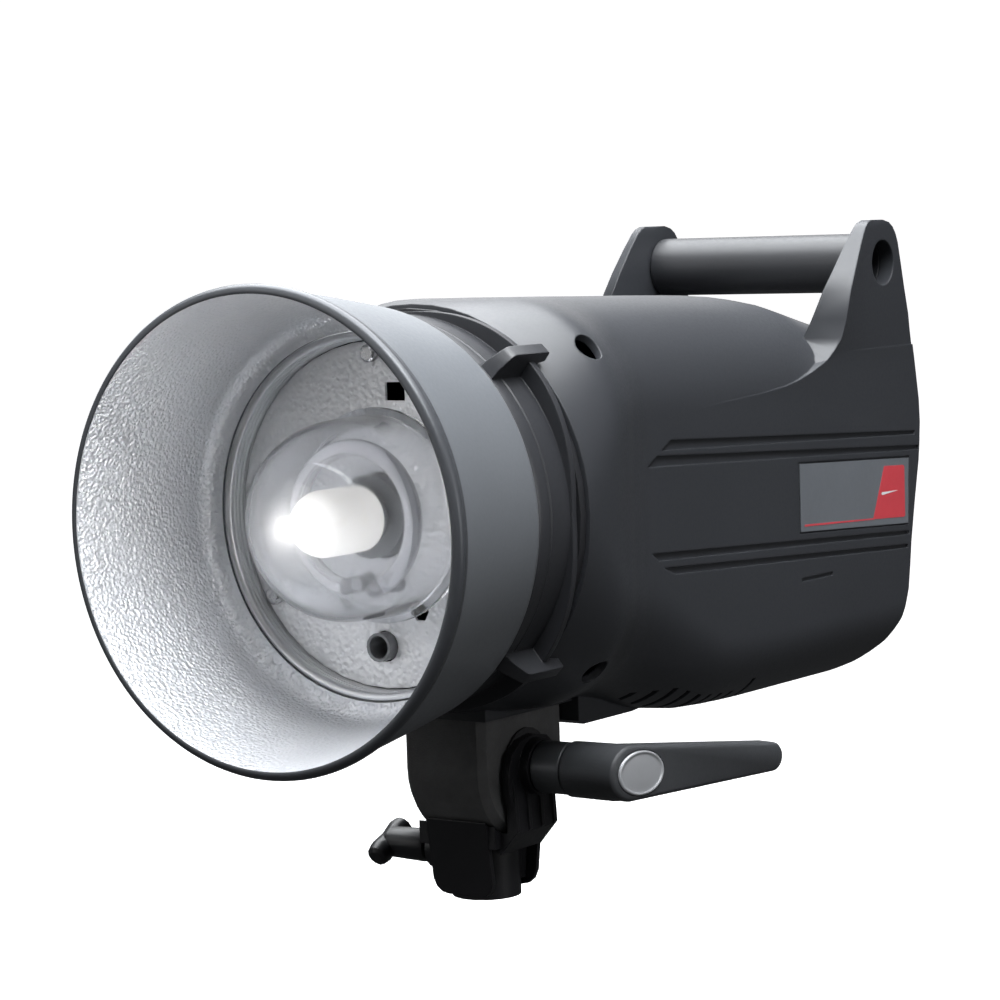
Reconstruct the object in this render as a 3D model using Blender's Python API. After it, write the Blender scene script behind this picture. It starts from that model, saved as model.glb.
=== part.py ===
"""Monolight studio strobe with its reflector, tilt head and stand clamp.

Metres, +Z up. The light faces -Y. The origin is the centre of the mouth of
the stand socket, on the socket's axis.
"""
import math

import bmesh
import bpy
from mathutils import Vector

MM = 0.001

# Optical axis and reflector
AXIS_Z = 157.0
RIM_Y = -137.0
RIM_R = 90.0
BOWL_REAR_Y = -69.2
BOWL_REAR_R = 80.3
COLLAR_IN_R = 68.2
COLLAR_OUT_R = 69.7

# Locking ring and fixed front mount
RING_FRONT_Y = -67.0
RING_REAR_Y = -42.0
RING_OUT_R = 76.2
RING_IN_R = 70.2
MOUNT_OUT_R = 67.5
PLATE_Y = -61.5
PLATE_R = 66.2

# Flash head
DOME_R = 38.0
DOME_CENTRE_Y = -83.0
FLASH_RING_R = 27.0
LAMP_R = 12.5
UMBRELLA_Z = AXIS_Z - 50.0

# Housing
FRONT_Y = -37.6
SIDE_X = 60.3
WALL = 3.0
PANEL_Y = 246.5
PANEL_T = 3.0
HANDLE_Y = 231.5
HANDLE_Z = 243.3
HANDLE_R = 13.0

# Tilt joint and stand clamp
PIVOT_Y = 1.0
PIVOT_Z = 53.0
EAR_X = 19.4
EAR_R = 28.4
CHEEK_IN = 20.9
CHEEK_OUT = 24.2
SOCKET_OUT_R = 13.75
SOCKET_BORE_R = 8.2
CLAMP_Z = 17.0

# Rear controls
DIAL_Z = 150.0
LOWER_ROW_Z = 120.0

MATERIALS = {
    "charcoal": ((0.035, 0.036, 0.039), 0.45, 0.0),
    "black": ((0.012, 0.012, 0.014), 0.40, 0.0),
    "grey_paint": ((0.20, 0.21, 0.23), 0.42, 0.30),
    "silver": ((0.80, 0.80, 0.81), 0.30, 1.0),
    "aluminium": ((0.62, 0.63, 0.65), 0.35, 1.0),
    "steel": ((0.50, 0.51, 0.53), 0.30, 1.0),
    "glass": ((0.93, 0.95, 0.97), 0.05, 0.0),
    "lamp": ((0.98, 0.96, 0.90), 0.25, 0.0),
    "ceramic": ((0.80, 0.79, 0.75), 0.55, 0.0),
    "board": ((0.03, 0.17, 0.08), 0.50, 0.0),
    "brass": ((0.66, 0.50, 0.22), 0.32, 1.0),
    "rubber": ((0.020, 0.020, 0.020), 0.85, 0.0),
    "badge": ((0.45, 0.46, 0.48), 0.35, 0.4),
    "label": ((0.24, 0.25, 0.27), 0.40, 0.2),
    "red": ((0.55, 0.02, 0.03), 0.45, 0.0),
    "screen": ((0.02, 0.03, 0.04), 0.10, 0.0),
}


# ---------------------------------------------------------------- helpers

def clear_scene():
    for obj in list(bpy.data.objects):
        bpy.data.objects.remove(obj, do_unlink=True)
    for mesh in list(bpy.data.meshes):
        bpy.data.meshes.remove(mesh)
    for material in list(bpy.data.materials):
        bpy.data.materials.remove(material)


def material_for(node, kind):
    colour, roughness, metallic = MATERIALS[kind]
    material = bpy.data.materials.new("mat_" + node)
    material.use_nodes = True
    shader = material.node_tree.nodes["Principled BSDF"]
    shader.inputs["Base Color"].default_value = (*colour, 1.0)
    shader.inputs["Roughness"].default_value = roughness
    shader.inputs["Metallic"].default_value = metallic
    material.diffuse_color = (*colour, 1.0)
    return material


def mesh_object(name, verts, faces):
    mesh = bpy.data.meshes.new(name)
    mesh.from_pydata([tuple(c * MM for c in v) for v in verts], [], faces)
    bm = bmesh.new()
    bm.from_mesh(mesh)
    bmesh.ops.remove_doubles(bm, verts=bm.verts, dist=1e-7)
    bmesh.ops.recalc_face_normals(bm, faces=bm.faces)
    bm.to_mesh(mesh)
    bm.free()
    obj = bpy.data.objects.new(name, mesh)
    bpy.context.scene.collection.objects.link(obj)
    return obj


def loft(name, rings):
    """Closed solid through equal-length rings of points, capped at both ends."""
    count = len(rings[0])
    verts = [p for ring in rings for p in ring]
    faces = []
    for i in range(len(rings) - 1):
        for j in range(count):
            k = (j + 1) % count
            faces.append((i * count + j, i * count + k,
                          (i + 1) * count + k, (i + 1) * count + j))
    last = (len(rings) - 1) * count
    faces.append(tuple(reversed(range(count))))
    faces.append(tuple(last + j for j in range(count)))
    return mesh_object(name, verts, faces)


def prism(name, outline, axis, low, high):
    """Outline of (u, v) pairs swept along an axis: x -> (y, z), y -> (x, z), z -> (x, y)."""
    def place(u, v, w):
        if axis == "x":
            return (w, u, v)
        if axis == "y":
            return (u, w, v)
        return (u, v, w)
    return loft(name, [[place(u, v, w) for u, v in outline] for w in (low, high)])


def box(name, x, y, z):
    return prism(name, [(x[0], y[0]), (x[1], y[0]), (x[1], y[1]), (x[0], y[1])], "z", *z)


def circle(cu, cv, radius, count=24, start=0.0):
    step = 2.0 * math.pi / count
    return [(cu + radius * math.cos(start + i * step), cv + radius * math.sin(start + i * step))
            for i in range(count)]


def cylinder(name, axis, centre, radius, low, high, count=24):
    return prism(name, circle(*centre, radius, count), axis, low, high)


def revolve(name, profile, axis="y", centre=(0.0, AXIS_Z), count=32):
    """Closed (w, r) profile turned about an axis; points with r = 0 close on the axis."""
    verts = []
    index = []
    for w, r in profile:
        row = []
        if r < 1e-6:
            verts.append(axis_point(axis, centre, w, 0.0, 0.0))
            row = [len(verts) - 1] * count
        else:
            for j in range(count):
                a = 2.0 * math.pi * j / count
                verts.append(axis_point(axis, centre, w, r * math.cos(a), r * math.sin(a)))
                row.append(len(verts) - 1)
        index.append(row)
    faces = []
    for i in range(len(profile)):
        lower = index[i]
        upper = index[(i + 1) % len(profile)]
        for j in range(count):
            k = (j + 1) % count
            corners = []
            for c in (lower[j], lower[k], upper[k], upper[j]):
                if c not in corners:
                    corners.append(c)
            if len(corners) > 2:
                faces.append(tuple(corners))
    return mesh_object(name, verts, faces)


def axis_point(axis, centre, w, u, v):
    if axis == "x":
        return (w, centre[0] + u, centre[1] + v)
    if axis == "y":
        return (centre[0] + u, w, centre[1] + v)
    return (centre[0] + u, centre[1] + v, w)


def sweep(name, path, radius, count=8):
    """Round tube along a smooth list of points, capped at both ends."""
    points = [Vector(p) for p in path]
    rings = []
    side = Vector((1.0, 0.0, 0.0))
    for i, point in enumerate(points):
        before = points[max(i - 1, 0)]
        after = points[min(i + 1, len(points) - 1)]
        along = (after - before).normalized()
        side = (side - along * side.dot(along)).normalized()
        other = along.cross(side)
        ring = []
        for j in range(count):
            a = 2.0 * math.pi * j / count
            ring.append(tuple(point + radius * (math.cos(a) * side + math.sin(a) * other)))
        rings.append(ring)
    return loft(name, rings)


def combine(target, others, operation):
    """Exact boolean of every tool object into the target, tools removed."""
    for other in others:
        modifier = target.modifiers.new("cut", "BOOLEAN")
        modifier.solver = "EXACT"
        modifier.operation = operation
        modifier.object = other
        bpy.context.view_layer.update()
        graph = bpy.context.evaluated_depsgraph_get()
        mesh = bpy.data.meshes.new_from_object(target.evaluated_get(graph))
        target.modifiers.clear()
        old = target.data
        target.data = mesh
        bpy.data.meshes.remove(old)
        mesh.name = target.name
        bpy.data.objects.remove(other, do_unlink=True)
    return target


def unite(target, *others):
    return combine(target, others, "UNION")


def cut(target, *others):
    return combine(target, others, "DIFFERENCE")


def tidy_mesh(obj):
    bm = bmesh.new()
    bm.from_mesh(obj.data)
    bmesh.ops.remove_doubles(bm, verts=bm.verts, dist=2e-6)
    bmesh.ops.dissolve_degenerate(bm, edges=bm.edges, dist=2e-6)
    bmesh.ops.dissolve_limit(bm, angle_limit=0.002, verts=bm.verts, edges=bm.edges)
    bmesh.ops.triangulate(bm, faces=bm.faces)
    bmesh.ops.recalc_face_normals(bm, faces=bm.faces)
    bm.to_mesh(obj.data)
    bm.free()


def finish(obj, kind, origin=None):
    """Give a node its material and, for a moving piece, an origin on its joint axis."""
    tidy_mesh(obj)
    obj.data.materials.clear()
    obj.data.materials.append(material_for(obj.name, kind))
    if origin is not None:
        place = Vector(origin) * MM
        for vertex in obj.data.vertices:
            vertex.co -= place
        obj.location = place
    return obj


# ---------------------------------------------------------------- reflector

def reflector_bowl():
    profile = [
        (-136.4, 86.9), (-134.2, 86.3), (-118.0, 84.0), (-98.0, 81.2), (-80.0, 78.6),
        (-74.6, 77.7), (-72.2, 76.3), (-71.4, 74.6), (BOWL_REAR_Y - 1.2, 70.3),
        (BOWL_REAR_Y, 70.3), (-70.0, 75.4), (-70.9, 78.2), (-72.6, 79.8), (-75.0, 80.4),
        (-98.0, 83.7), (-130.4, 88.3), (-131.6, 89.3), (-133.6, RIM_R), (-135.6, 89.8),
        (-136.7, 88.9), (RIM_Y, 87.9),
    ]
    origin = (0.0, -103.0, AXIS_Z)
    return finish(revolve("reflector_bowl", profile, count=48), "grey_paint", origin)


def reflector_collar():
    """Bayonet sleeve behind the bowl, with three claws."""
    profile = [
        (-69.9, COLLAR_IN_R), (-70.3, 69.0), (-69.9, 69.9), (-68.7, 70.0), (-68.7, 74.5),
        (-67.7, 74.5), (-67.7, COLLAR_OUT_R), (-45.0, COLLAR_OUT_R), (-45.0, COLLAR_IN_R),
    ]
    collar = revolve("reflector_collar", profile, count=40)
    for k in range(3):
        middle = math.radians(90.0 + 120.0 * k)
        outline = []
        for radius, order in ((69.0, (-1, 0, 1)), (72.2, (1, 0, -1))):
            for s in order:
                a = middle + s * math.radians(8.0)
                outline.append((radius * math.cos(a), AXIS_Z + radius * math.sin(a)))
        unite(collar, prism("claw", outline, "y", -50.0, -46.0))
    return finish(collar, "aluminium", (0.0, -57.0, AXIS_Z))


# Position along y and radius at each corner of a grip lug, which thins outwards.
LUG_OUTLINE = [(-64.6, 74.8), (-62.8, 79.5), (-57.5, 86.2), (-34.6, 86.2), (-34.6, 81.6),
               (-43.3, 80.6), (-43.3, 74.8)]


def locking_ring():
    """Ring that clamps the claws, with four grip lugs and a waved fin."""
    profile = [
        (RING_FRONT_Y, RING_IN_R), (RING_FRONT_Y, 74.6), (-64.0, RING_OUT_R),
        (RING_REAR_Y, RING_OUT_R), (RING_REAR_Y, RING_IN_R), (-44.0, RING_IN_R),
        (-44.0, 73.2), (-52.0, 73.2), (-52.0, RING_IN_R),
    ]
    ring = revolve("locking_ring", profile, count=48)
    outer = []
    for i in range(48):
        a = 2.0 * math.pi * i / 48
        radius = 76.6 + 5.7 * abs(math.sin(2.0 * a)) ** 1.5
        outer.append((radius * math.cos(a), AXIS_Z + radius * math.sin(a)))
    fin = prism("fin", outer, "y", -45.6, -42.6)
    cut(fin, cylinder("bore", "y", (0.0, AXIS_Z), 75.0, -47.0, -41.0, 48))
    unite(ring, fin)
    for k in range(4):
        a = math.radians(46.0 + 90.0 * k)
        radial = Vector((math.cos(a), 0.0, math.sin(a)))
        across = Vector((-math.sin(a), 0.0, math.cos(a)))
        rings = [[tuple(radial * r + across * s * (11.45 - 0.105 * r) + Vector((0.0, y, AXIS_Z)))
                  for y, r in LUG_OUTLINE] for s in (-1.0, 1.0)]
        unite(ring, loft("lug", rings))
    return finish(ring, "black", (0.0, -55.0, AXIS_Z))


# ---------------------------------------------------------------- flash head

def screw_places():
    return [(61.5 * math.cos(math.radians(a)), AXIS_Z + 61.5 * math.sin(math.radians(a)))
            for a in (92.0, 212.0, 332.0)]


def front_mount():
    """Fixed sleeve and flange that carry the reflector and the base plate."""
    profile = [
        (-60.0, 56.5), (-60.0, MOUNT_OUT_R), (-41.6, MOUNT_OUT_R), (-41.6, 77.5),
        (-38.0, 77.5), (-38.0, 64.5), (-56.0, 64.5), (-56.0, 56.5),
    ]
    mount = revolve("front_mount", profile, count=40)
    for x, z in screw_places():
        cut(mount, cylinder("hole", "y", (x, z), 1.8, -62.0, -54.0, 10))
    return finish(mount, "black")


def base_plate():
    plate = cylinder("base_plate", "y", (0.0, AXIS_Z), PLATE_R, PLATE_Y, PLATE_Y + 1.2, 40)
    holes = [((0.0, AXIS_Z), 16.6, 24), ((0.0, UMBRELLA_Z), 6.0, 16)]
    for side in (-1, 1):
        holes.append(((side * 7.0, AXIS_Z - 26.0), 4.1, 12))
        holes.append(((side * 17.0, AXIS_Z - 36.0), 4.0, 6))
    for centre, radius, count in holes:
        cut(plate, cylinder("hole", "y", centre, radius, -64.0, -58.0, count))
    for place in screw_places():
        cut(plate, cylinder("hole", "y", place, 1.8, -64.0, -58.0, 10))
    cut(plate, box("notch", (4.0, 13.0), (-64.0, -58.0), (AXIS_Z + 43.5, AXIS_Z + 50.5)))
    return finish(plate, "silver")


def plate_screws():
    for index, (x, z) in enumerate(screw_places()):
        profile = [(-64.6, 0.0), (-64.6, 2.6), (-64.0, 3.4), (-61.8, 3.4), (-61.8, 1.5),
                   (-55.0, 1.5), (-55.0, 0.0)]
        screw = revolve("plate_screw_%d" % (index + 1), profile, centre=(x, z), count=12)
        finish(screw, "steel")


def glass_dome():
    outer = [(-61.8, 41.0), (-64.0, 41.0), (-65.0, DOME_R)]
    inner = [(-61.8, DOME_R - 2.0)]
    for i in range(8):
        a = math.radians(90.0 * i / 8)
        outer.append((DOME_CENTRE_Y - DOME_R * math.sin(a), DOME_R * math.cos(a)))
        inner.append((DOME_CENTRE_Y - (DOME_R - 2.0) * math.sin(a),
                      (DOME_R - 2.0) * math.cos(a)))
    outer.append((DOME_CENTRE_Y - DOME_R, 0.0))
    inner.append((DOME_CENTRE_Y - DOME_R + 2.0, 0.0))
    return finish(revolve("glass_dome", outer + inner[::-1], count=24), "glass")


def flash_tube():
    """Ring-shaped flash tube with two legs through the base plate."""
    path = []
    ring_y = -78.0
    gap = math.radians(15.0)
    low = -0.5 * math.pi
    for y in (-55.0, -66.0, -74.0):
        path.append((FLASH_RING_R * math.sin(gap), y, AXIS_Z - FLASH_RING_R * math.cos(gap)))
    steps = 22
    for i in range(steps + 1):
        a = low + gap + (2.0 * math.pi - 2.0 * gap) * i / steps
        lift = 0.0 if 0 < i < steps else 1.0
        path.append((FLASH_RING_R * math.cos(a), ring_y + lift,
                     AXIS_Z + FLASH_RING_R * math.sin(a)))
    for y in (-74.0, -66.0, -55.0):
        path.append((-FLASH_RING_R * math.sin(gap), y, AXIS_Z - FLASH_RING_R * math.cos(gap)))
    return finish(sweep("flash_tube", path, 3.4), "glass")


def flash_socket():
    return finish(box("flash_socket", (-15.0, 15.0), (-54.7, -46.0),
                      (AXIS_Z - 34.0, AXIS_Z - 20.0)), "ceramic")


def modelling_lamp():
    profile = [(-109.0, 0.0), (-108.4, 4.5), (-106.0, 9.0), (-102.0, 11.8), (-97.0, LAMP_R),
               (-76.0, LAMP_R), (-72.5, 11.0), (-70.5, 9.0), (-56.0, 9.0), (-54.0, 4.0),
               (-54.0, 0.0)]
    return finish(revolve("modelling_lamp", profile, count=20), "lamp")


def lamp_socket():
    profile = [(-69.0, 9.4), (-69.0, 16.0), (-46.0, 16.0), (-46.0, 0.0), (-50.0, 0.0),
               (-50.0, 9.4)]
    return finish(revolve("lamp_socket", profile, count=20), "ceramic")


def umbrella_tube():
    profile = [(-66.0, 4.4), (-66.0, 5.6), (120.0, 5.6), (120.0, 4.4)]
    tube = revolve("umbrella_tube", profile, centre=(0.0, UMBRELLA_Z), count=16)
    return finish(tube, "steel")


# ---------------------------------------------------------------- housing

# y, half width, top z, bottom z, top corner radius, bottom corner radius
SECTIONS = [
    (FRONT_Y, 79.0, 236.0, 78.0, 78.4, 78.4),
    (-22.0, 78.3, 236.9, 77.2, 66.0, 66.0),
    (-6.0, 74.6, 237.0, 76.6, 52.0, 52.0),
    (20.0, 63.8, 236.5, 75.6, 48.0, 48.0),
    (32.0, 60.6, 236.2, 74.6, 47.0, 47.0),
    (45.0, SIDE_X, 235.8, 72.0, 47.0, 46.0),
    (65.0, SIDE_X, 235.2, 67.0, 46.5, 40.0),
    (95.0, SIDE_X, 234.3, 63.0, 46.0, 31.0),
    (140.0, SIDE_X, 232.6, 62.0, 46.0, 30.0),
    (175.0, SIDE_X, 229.0, 62.0, 46.0, 30.0),
    (205.0, SIDE_X, 222.5, 62.0, 46.0, 30.0),
    (245.0, SIDE_X, 213.5, 62.0, 46.0, 30.0),
    (290.0, SIDE_X, 202.0, 62.0, 46.0, 30.0),
]


def section_ring(y, half, top, bottom, r_top, r_bottom, steps=7):
    ring = []
    corners = ((half - r_top, top - r_top, r_top, 0.0),
               (-half + r_top, top - r_top, r_top, 90.0),
               (-half + r_bottom, bottom + r_bottom, r_bottom, 180.0),
               (half - r_bottom, bottom + r_bottom, r_bottom, 270.0))
    for cx, cz, radius, start in corners:
        for i in range(steps + 1):
            a = math.radians(start + 90.0 * i / steps)
            ring.append((cx + radius * math.cos(a), y, cz + radius * math.sin(a)))
    return ring


def housing_loft(name, inset, first, last):
    rings = []
    for y, half, top, bottom, r_top, r_bottom in SECTIONS:
        where = y
        if y == SECTIONS[0][0]:
            where = first
        if y == SECTIONS[-1][0]:
            where = last
        rings.append(section_ring(where, half - inset, top - inset, bottom + inset,
                                  max(r_top - inset, 4.0), max(r_bottom - inset, 4.0)))
    return loft(name, rings)


REAR_EDGE = [(246.5, 253.0), (250.5, 235.0), (255.5, 217.0), (259.5, 199.0), (263.0, 181.0),
             (263.8, 171.0), (261.5, 154.0), (257.0, 136.0), (253.0, 118.0), (251.5, 108.0),
             (249.5, 97.0), (244.0, 84.0), (236.0, 75.0), (222.0, 67.0), (203.0, 61.6)]


# Height, inner front edge (x, y), outer front edge (x, y) and rear edge y of each horn.
HORN_LEVELS = [
    (199.0, 46.0, 168.0, 60.15, 172.0, 258.4),
    (207.0, 47.2, 175.0, 60.7, 185.2, 256.8),
    (212.0, 48.8, 178.5, 61.6, 190.5, 255.8),
    (220.0, 51.2, 182.0, 62.7, 192.6, 254.6),
    (232.0, 54.0, 187.5, 63.6, 195.4, 251.2),
    (241.4, 54.8, 196.0, 62.7, 201.8, 248.8),
    (252.0, 55.2, 206.0, 61.3, 209.8, 246.0),
    (258.0, 55.4, 212.0, 60.4, 214.6, 242.5),
    (260.8, 55.5, 215.0, 60.1, 217.2, 238.5),
    (262.2, 55.8, 220.0, 59.8, 221.8, 232.5),
]


def handle_plate(name, side):
    """Shoulder ledge along the side and the horn that rises from it."""
    outline = [(259.2, 200.0), (262.8, 181.2), (263.4, 172.0), (250.0, 168.0), (240.0, 180.0),
               (60.0, 180.0), (71.0, 189.0), (120.0, 192.0), (143.0, 194.0), (163.0, 198.0),
               (182.0, 204.0), (190.0, 206.0), (257.8, 206.2)]
    low, high = sorted((side * (SIDE_X - 12.0), side * (SIDE_X - 0.02)))
    plate = prism(name, outline, "x", low, high)
    rings = []
    for z, x_in, y_in, x_out, y_out, y_rear in HORN_LEVELS:
        x_rear = min(x_out, 60.1)
        y_mid = y_out + 0.4 * (y_rear - y_out)
        rings.append([(side * x_in, y_in, z), (side * x_out, y_out, z),
                      (side * x_rear, y_mid, z), (side * x_rear, y_rear, z),
                      (side * 53.1, y_rear, z), (side * 53.1, y_mid, z)])
    return unite(plate, loft("horn", rings))


GROOVES = [
    ((50.6, 178.1), (258.0, 167.3), (258.0, 165.8), (43.5, 174.4)),
    ((39.7, 172.5), (261.5, 160.5), (261.5, 158.6), (32.5, 168.6)),
    ((34.0, 134.4), (251.0, 122.9), (251.0, 121.2), (39.5, 131.0)),
    ((43.0, 127.9), (249.5, 116.9), (249.5, 115.3), (52.0, 124.5)),
]

FRONT_SCREWS = [(55.8, -11.5, AXIS_Z + 54.6), (54.6, -10.0, AXIS_Z - 58.0),
                (-55.8, -11.5, AXIS_Z + 54.6), (-54.6, -10.0, AXIS_Z - 58.0)]


def main_housing():
    shell = housing_loft("main_housing", 0.0, FRONT_Y, 290.0)
    outline = [(-60.0, 300.0), (246.5, 300.0)] + REAR_EDGE + [(180.0, 55.0), (-60.0, 40.0)]
    combine(shell, [prism("side_profile", outline, "x", -100.0, 100.0)], "INTERSECT")
    for side in (-1, 1):
        unite(shell, handle_plate("plate", side))
    keel = [(30.5, 80.0), (30.5, 66.5), (34.0, 64.8), (70.0, 64.8), (104.0, 68.0), (104.0, 80.0)]
    unite(shell, prism("keel", keel, "x", -26.0, 26.0))
    unite(shell, box("pad", (-23.0, 23.0), (-30.0, 33.0), (74.5, 84.0)))

    inner = housing_loft("inner", WALL, -45.0, 300.0)
    hollow = [(-60.0, 300.0), (310.0, 300.0), (310.0, 104.0), (247.4, 104.0), (246.0, 97.0),
              (240.8, 86.5), (233.0, 78.2), (220.5, 70.6), (203.0, 65.2), (180.0, 58.5),
              (-60.0, 43.0)]
    combine(inner, [prism("inner_profile", hollow, "x", -90.0, 90.0)], "INTERSECT")
    cut(shell, inner)

    cut(shell, cylinder("handle_hole", "x", (HANDLE_Y, HANDLE_Z), 10.0, -70.0, 70.0, 24))
    for side in (-1, 1):
        for groove in GROOVES:
            low, high = sorted((side * (SIDE_X - 0.8), side * (SIDE_X + 8.0)))
            cut(shell, prism("groove", list(groove), "x", low, high))
        low, high = sorted((side * (SIDE_X - 0.6), side * (SIDE_X + 3.0)))
        cut(shell, box("label_seat", (low, high), (152.0, 252.0), (125.6, 161.0)))
        cut(shell, box("side_slot", (low, high), (153.0, 180.0), (110.4, 111.8)))
        for k in range(8):
            y = 52.0 + 8.6 * k
            low, high = sorted((side * 30.0, side * 48.0))
            cut(shell, box("vent", (low, high), (y, y + 2.6), (50.0, 75.5)))
        low, high = sorted((side * 27.0, side * 53.0))
        cut(shell, box("long_vent", (low, high), (122.0, 124.6), (50.0, 77.0)))
    return shell


def front_screws(shell):
    """Counterbores in the flared front and the screws at their bottoms."""
    for index, (x, y, z) in enumerate(FRONT_SCREWS):
        direction = Vector((x, 0.0, z - AXIS_Z)).normalized()
        direction = (direction + Vector((0.0, 0.2, 0.0))).normalized()
        seat = Vector((x, y, z))
        boss = aimed_cylinder("boss", seat - direction * 5.0, seat + direction * 3.6, 8.6, 16)
        unite(shell, boss)
        cutter = aimed_cylinder("bore", seat - direction * 2.2, seat + direction * 18.0, 6.1, 16)
        cut(shell, cutter)
        screw = aimed_cylinder("front_screw_%d" % (index + 1), seat - direction * 1.9,
                               seat + direction * 0.4, 4.4, 12)
        socket = aimed_cylinder("hex", seat - direction * 0.9, seat + direction * 2.0, 2.0, 6)
        cut(screw, socket)
        finish(screw, "steel")


def aimed_cylinder(name, start, end, radius, count):
    along = (end - start).normalized()
    side = along.cross(Vector((0.0, 0.0, 1.0))).normalized()
    other = along.cross(side)
    rings = []
    for point in (start, end):
        ring = []
        for j in range(count):
            a = 2.0 * math.pi * j / count
            ring.append(tuple(point + radius * (math.cos(a) * side + math.sin(a) * other)))
        rings.append(ring)
    return loft(name, rings)


def handle_tube():
    half = SIDE_X - 7.5
    profile = [(-half, 10.0), (-half, HANDLE_R), (half, HANDLE_R), (half, 10.0)]
    tube = revolve("handle_tube", profile, "x", (HANDLE_Y, HANDLE_Z), 24)
    return finish(tube, "black")


def label_plates():
    for name, side in (("label_plate_right", 1), ("label_plate_left", -1)):
        low, high = sorted((side * (SIDE_X - 0.3), side * (SIDE_X + 0.2)))
        outline = [(153.0, 160.4), (153.0, 131.6), (250.0, 126.4), (251.4, 155.6)]
        plate = prism(name, outline, "x", low, high)
        finish(plate, "label")


# ---------------------------------------------------------------- internals

def chassis():
    plate = box("chassis", (-50.0, 50.0), (66.0, 222.0), (96.0, 98.0))
    unite(plate, box("web", (-50.0, -48.0), (66.0, 222.0), (95.9, 128.0)))
    unite(plate, box("web", (48.0, 50.0), (66.0, 222.0), (95.9, 128.0)))
    return finish(plate, "aluminium")


def capacitors():
    for index, x in enumerate((-25.0, 25.0)):
        profile = [(0.0, 0.0), (0.0, 16.5), (1.0, 17.5), (92.0, 17.5), (93.0, 16.5), (93.0, 0.0)]
        name = "capacitor_%d" % (index + 1)
        finish(revolve(name, profile, centre=(x, 135.0), count=20), "black")


def power_board():
    board = box("power_board", (-50.0, 50.0), (-12.0, 165.0), (164.0, 165.6))
    parts = [((-44, -20), (20, 48), (165.0, 190.0)), ((-10, 14), (30, 60), (165.0, 186.0)),
             ((24, 44), (24, 70), (165.0, 198.0)), ((-40, -12), (80, 130), (165.0, 182.0)),
             ((4, 40), (95, 140), (165.0, 178.0))]
    for x, y, z in parts:
        unite(board, box("component", x, y, z))
    return finish(board, "board")


def trigger_transformer():
    core = box("trigger_transformer", (-16.0, 16.0), (-10.0, 14.0), (165.9, 192.0))
    return finish(core, "black")


def control_board():
    board = box("control_board", (-44.0, 44.0), (229.0, 230.6), (135.0, 190.0))
    for x, z in BUTTON_PLACES:
        unite(board, box("switch", (x - 3, x + 3), (230.0, 239.3), (z - 3, z + 3)))
    unite(board, box("encoder", (-6.0, 6.0), (230.0, 234.4), (DIAL_Z - 6, DIAL_Z + 6)))
    return finish(board, "board")


def fan_frame():
    frame = box("fan_frame", (-30.0, 30.0), (195.0, 210.0), (126.0, 186.0))
    cut(frame, cylinder("throat", "y", (0.0, 156.0), 28.0, 190.0, 215.0, 28))
    unite(frame, cylinder("motor", "y", (0.0, 156.0), 10.0, 207.0, 209.6, 16))
    for k in range(3):
        a = math.radians(90.0 + 120.0 * k)
        radial = Vector((math.cos(a), 0.0, math.sin(a)))
        across = Vector((-math.sin(a), 0.0, math.cos(a)))
        rings = []
        for r in (6.0, 29.0):
            rings.append([tuple(radial * r + across * s + Vector((0.0, y, 156.0)))
                          for s, y in ((-1.5, 207.2), (1.5, 207.2), (1.5, 209.4), (-1.5, 209.4))])
        unite(frame, loft("strut", rings))
    return finish(frame, "black")


def fan_rotor():
    rotor = cylinder("fan_rotor", "y", (0.0, 156.0), 11.0, 196.5, 206.5, 20)
    for k in range(7):
        a = math.radians(360.0 / 7 * k + 10.0)
        radial = Vector((math.cos(a), 0.0, math.sin(a)))
        across = Vector((-math.sin(a), 0.0, math.cos(a)))
        rings = []
        for r, half in ((9.0, 3.2), (26.6, 5.2)):
            rings.append([tuple(radial * r + across * s + Vector((0.0, y, 156.0)))
                          for s, y in ((-half, 197.5), (-half + 1.2, 197.5),
                                       (half, 205.5), (half - 1.2, 205.5))])
        unite(rotor, loft("blade", rings))
    return finish(rotor, "rubber", (0.0, 201.5, 156.0))


# ---------------------------------------------------------------- rear panel

BUTTON_PLACES = [(38.0, 158.0), (38.0, 142.0), (-38.0, 158.0), (-38.0, 142.0)]


def rear_panel():
    ring = section_ring(0.0, 56.9, 209.8, 104.4, 42.6, 2.0, 7)
    outline = [(x, z) for x, _, z in ring]
    panel = prism("rear_panel", outline, "y", PANEL_Y - PANEL_T, PANEL_Y)
    span = (PANEL_Y - 6.0, PANEL_Y + 6.0)
    cut(panel, box("window", (-27.3, 27.3), span, (177.7, 202.3)))
    cut(panel, cylinder("hole", "y", (0.0, DIAL_Z), 3.5, *span, 16))
    for x, z in BUTTON_PLACES:
        cut(panel, box("hole", (x - 8.0, x + 8.0), span, (z - 4.5, z + 4.5)))
    cut(panel, box("hole", (-45.8, -18.2), span, (LOWER_ROW_Z - 10.3, LOWER_ROW_Z + 10.3)))
    cut(panel, box("hole", (-7.0, 11.0), span, (LOWER_ROW_Z - 6.8, LOWER_ROW_Z + 6.8)))
    cut(panel, cylinder("hole", "y", (34.0, LOWER_ROW_Z), 7.3, *span, 20))
    cut(panel, cylinder("hole", "y", (44.0, 184.0), 4.6, *span, 16))
    cut(panel, cylinder("hole", "y", (-44.0, 184.0), 5.6, *span, 16))
    return finish(panel, "black")


def display_window():
    pane = box("display_window", (-27.0, 27.0), (242.5, 245.6), (178.0, 202.0))
    return finish(pane, "screen")


def dial_bush():
    profile = [(236.0, 0.0), (236.0, 3.0), (256.0, 3.0), (256.0, 0.0)]
    bush = revolve("dial_bush", profile, centre=(0.0, DIAL_Z), count=16)
    return finish(bush, "steel", (0.0, 246.0, DIAL_Z))


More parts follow.
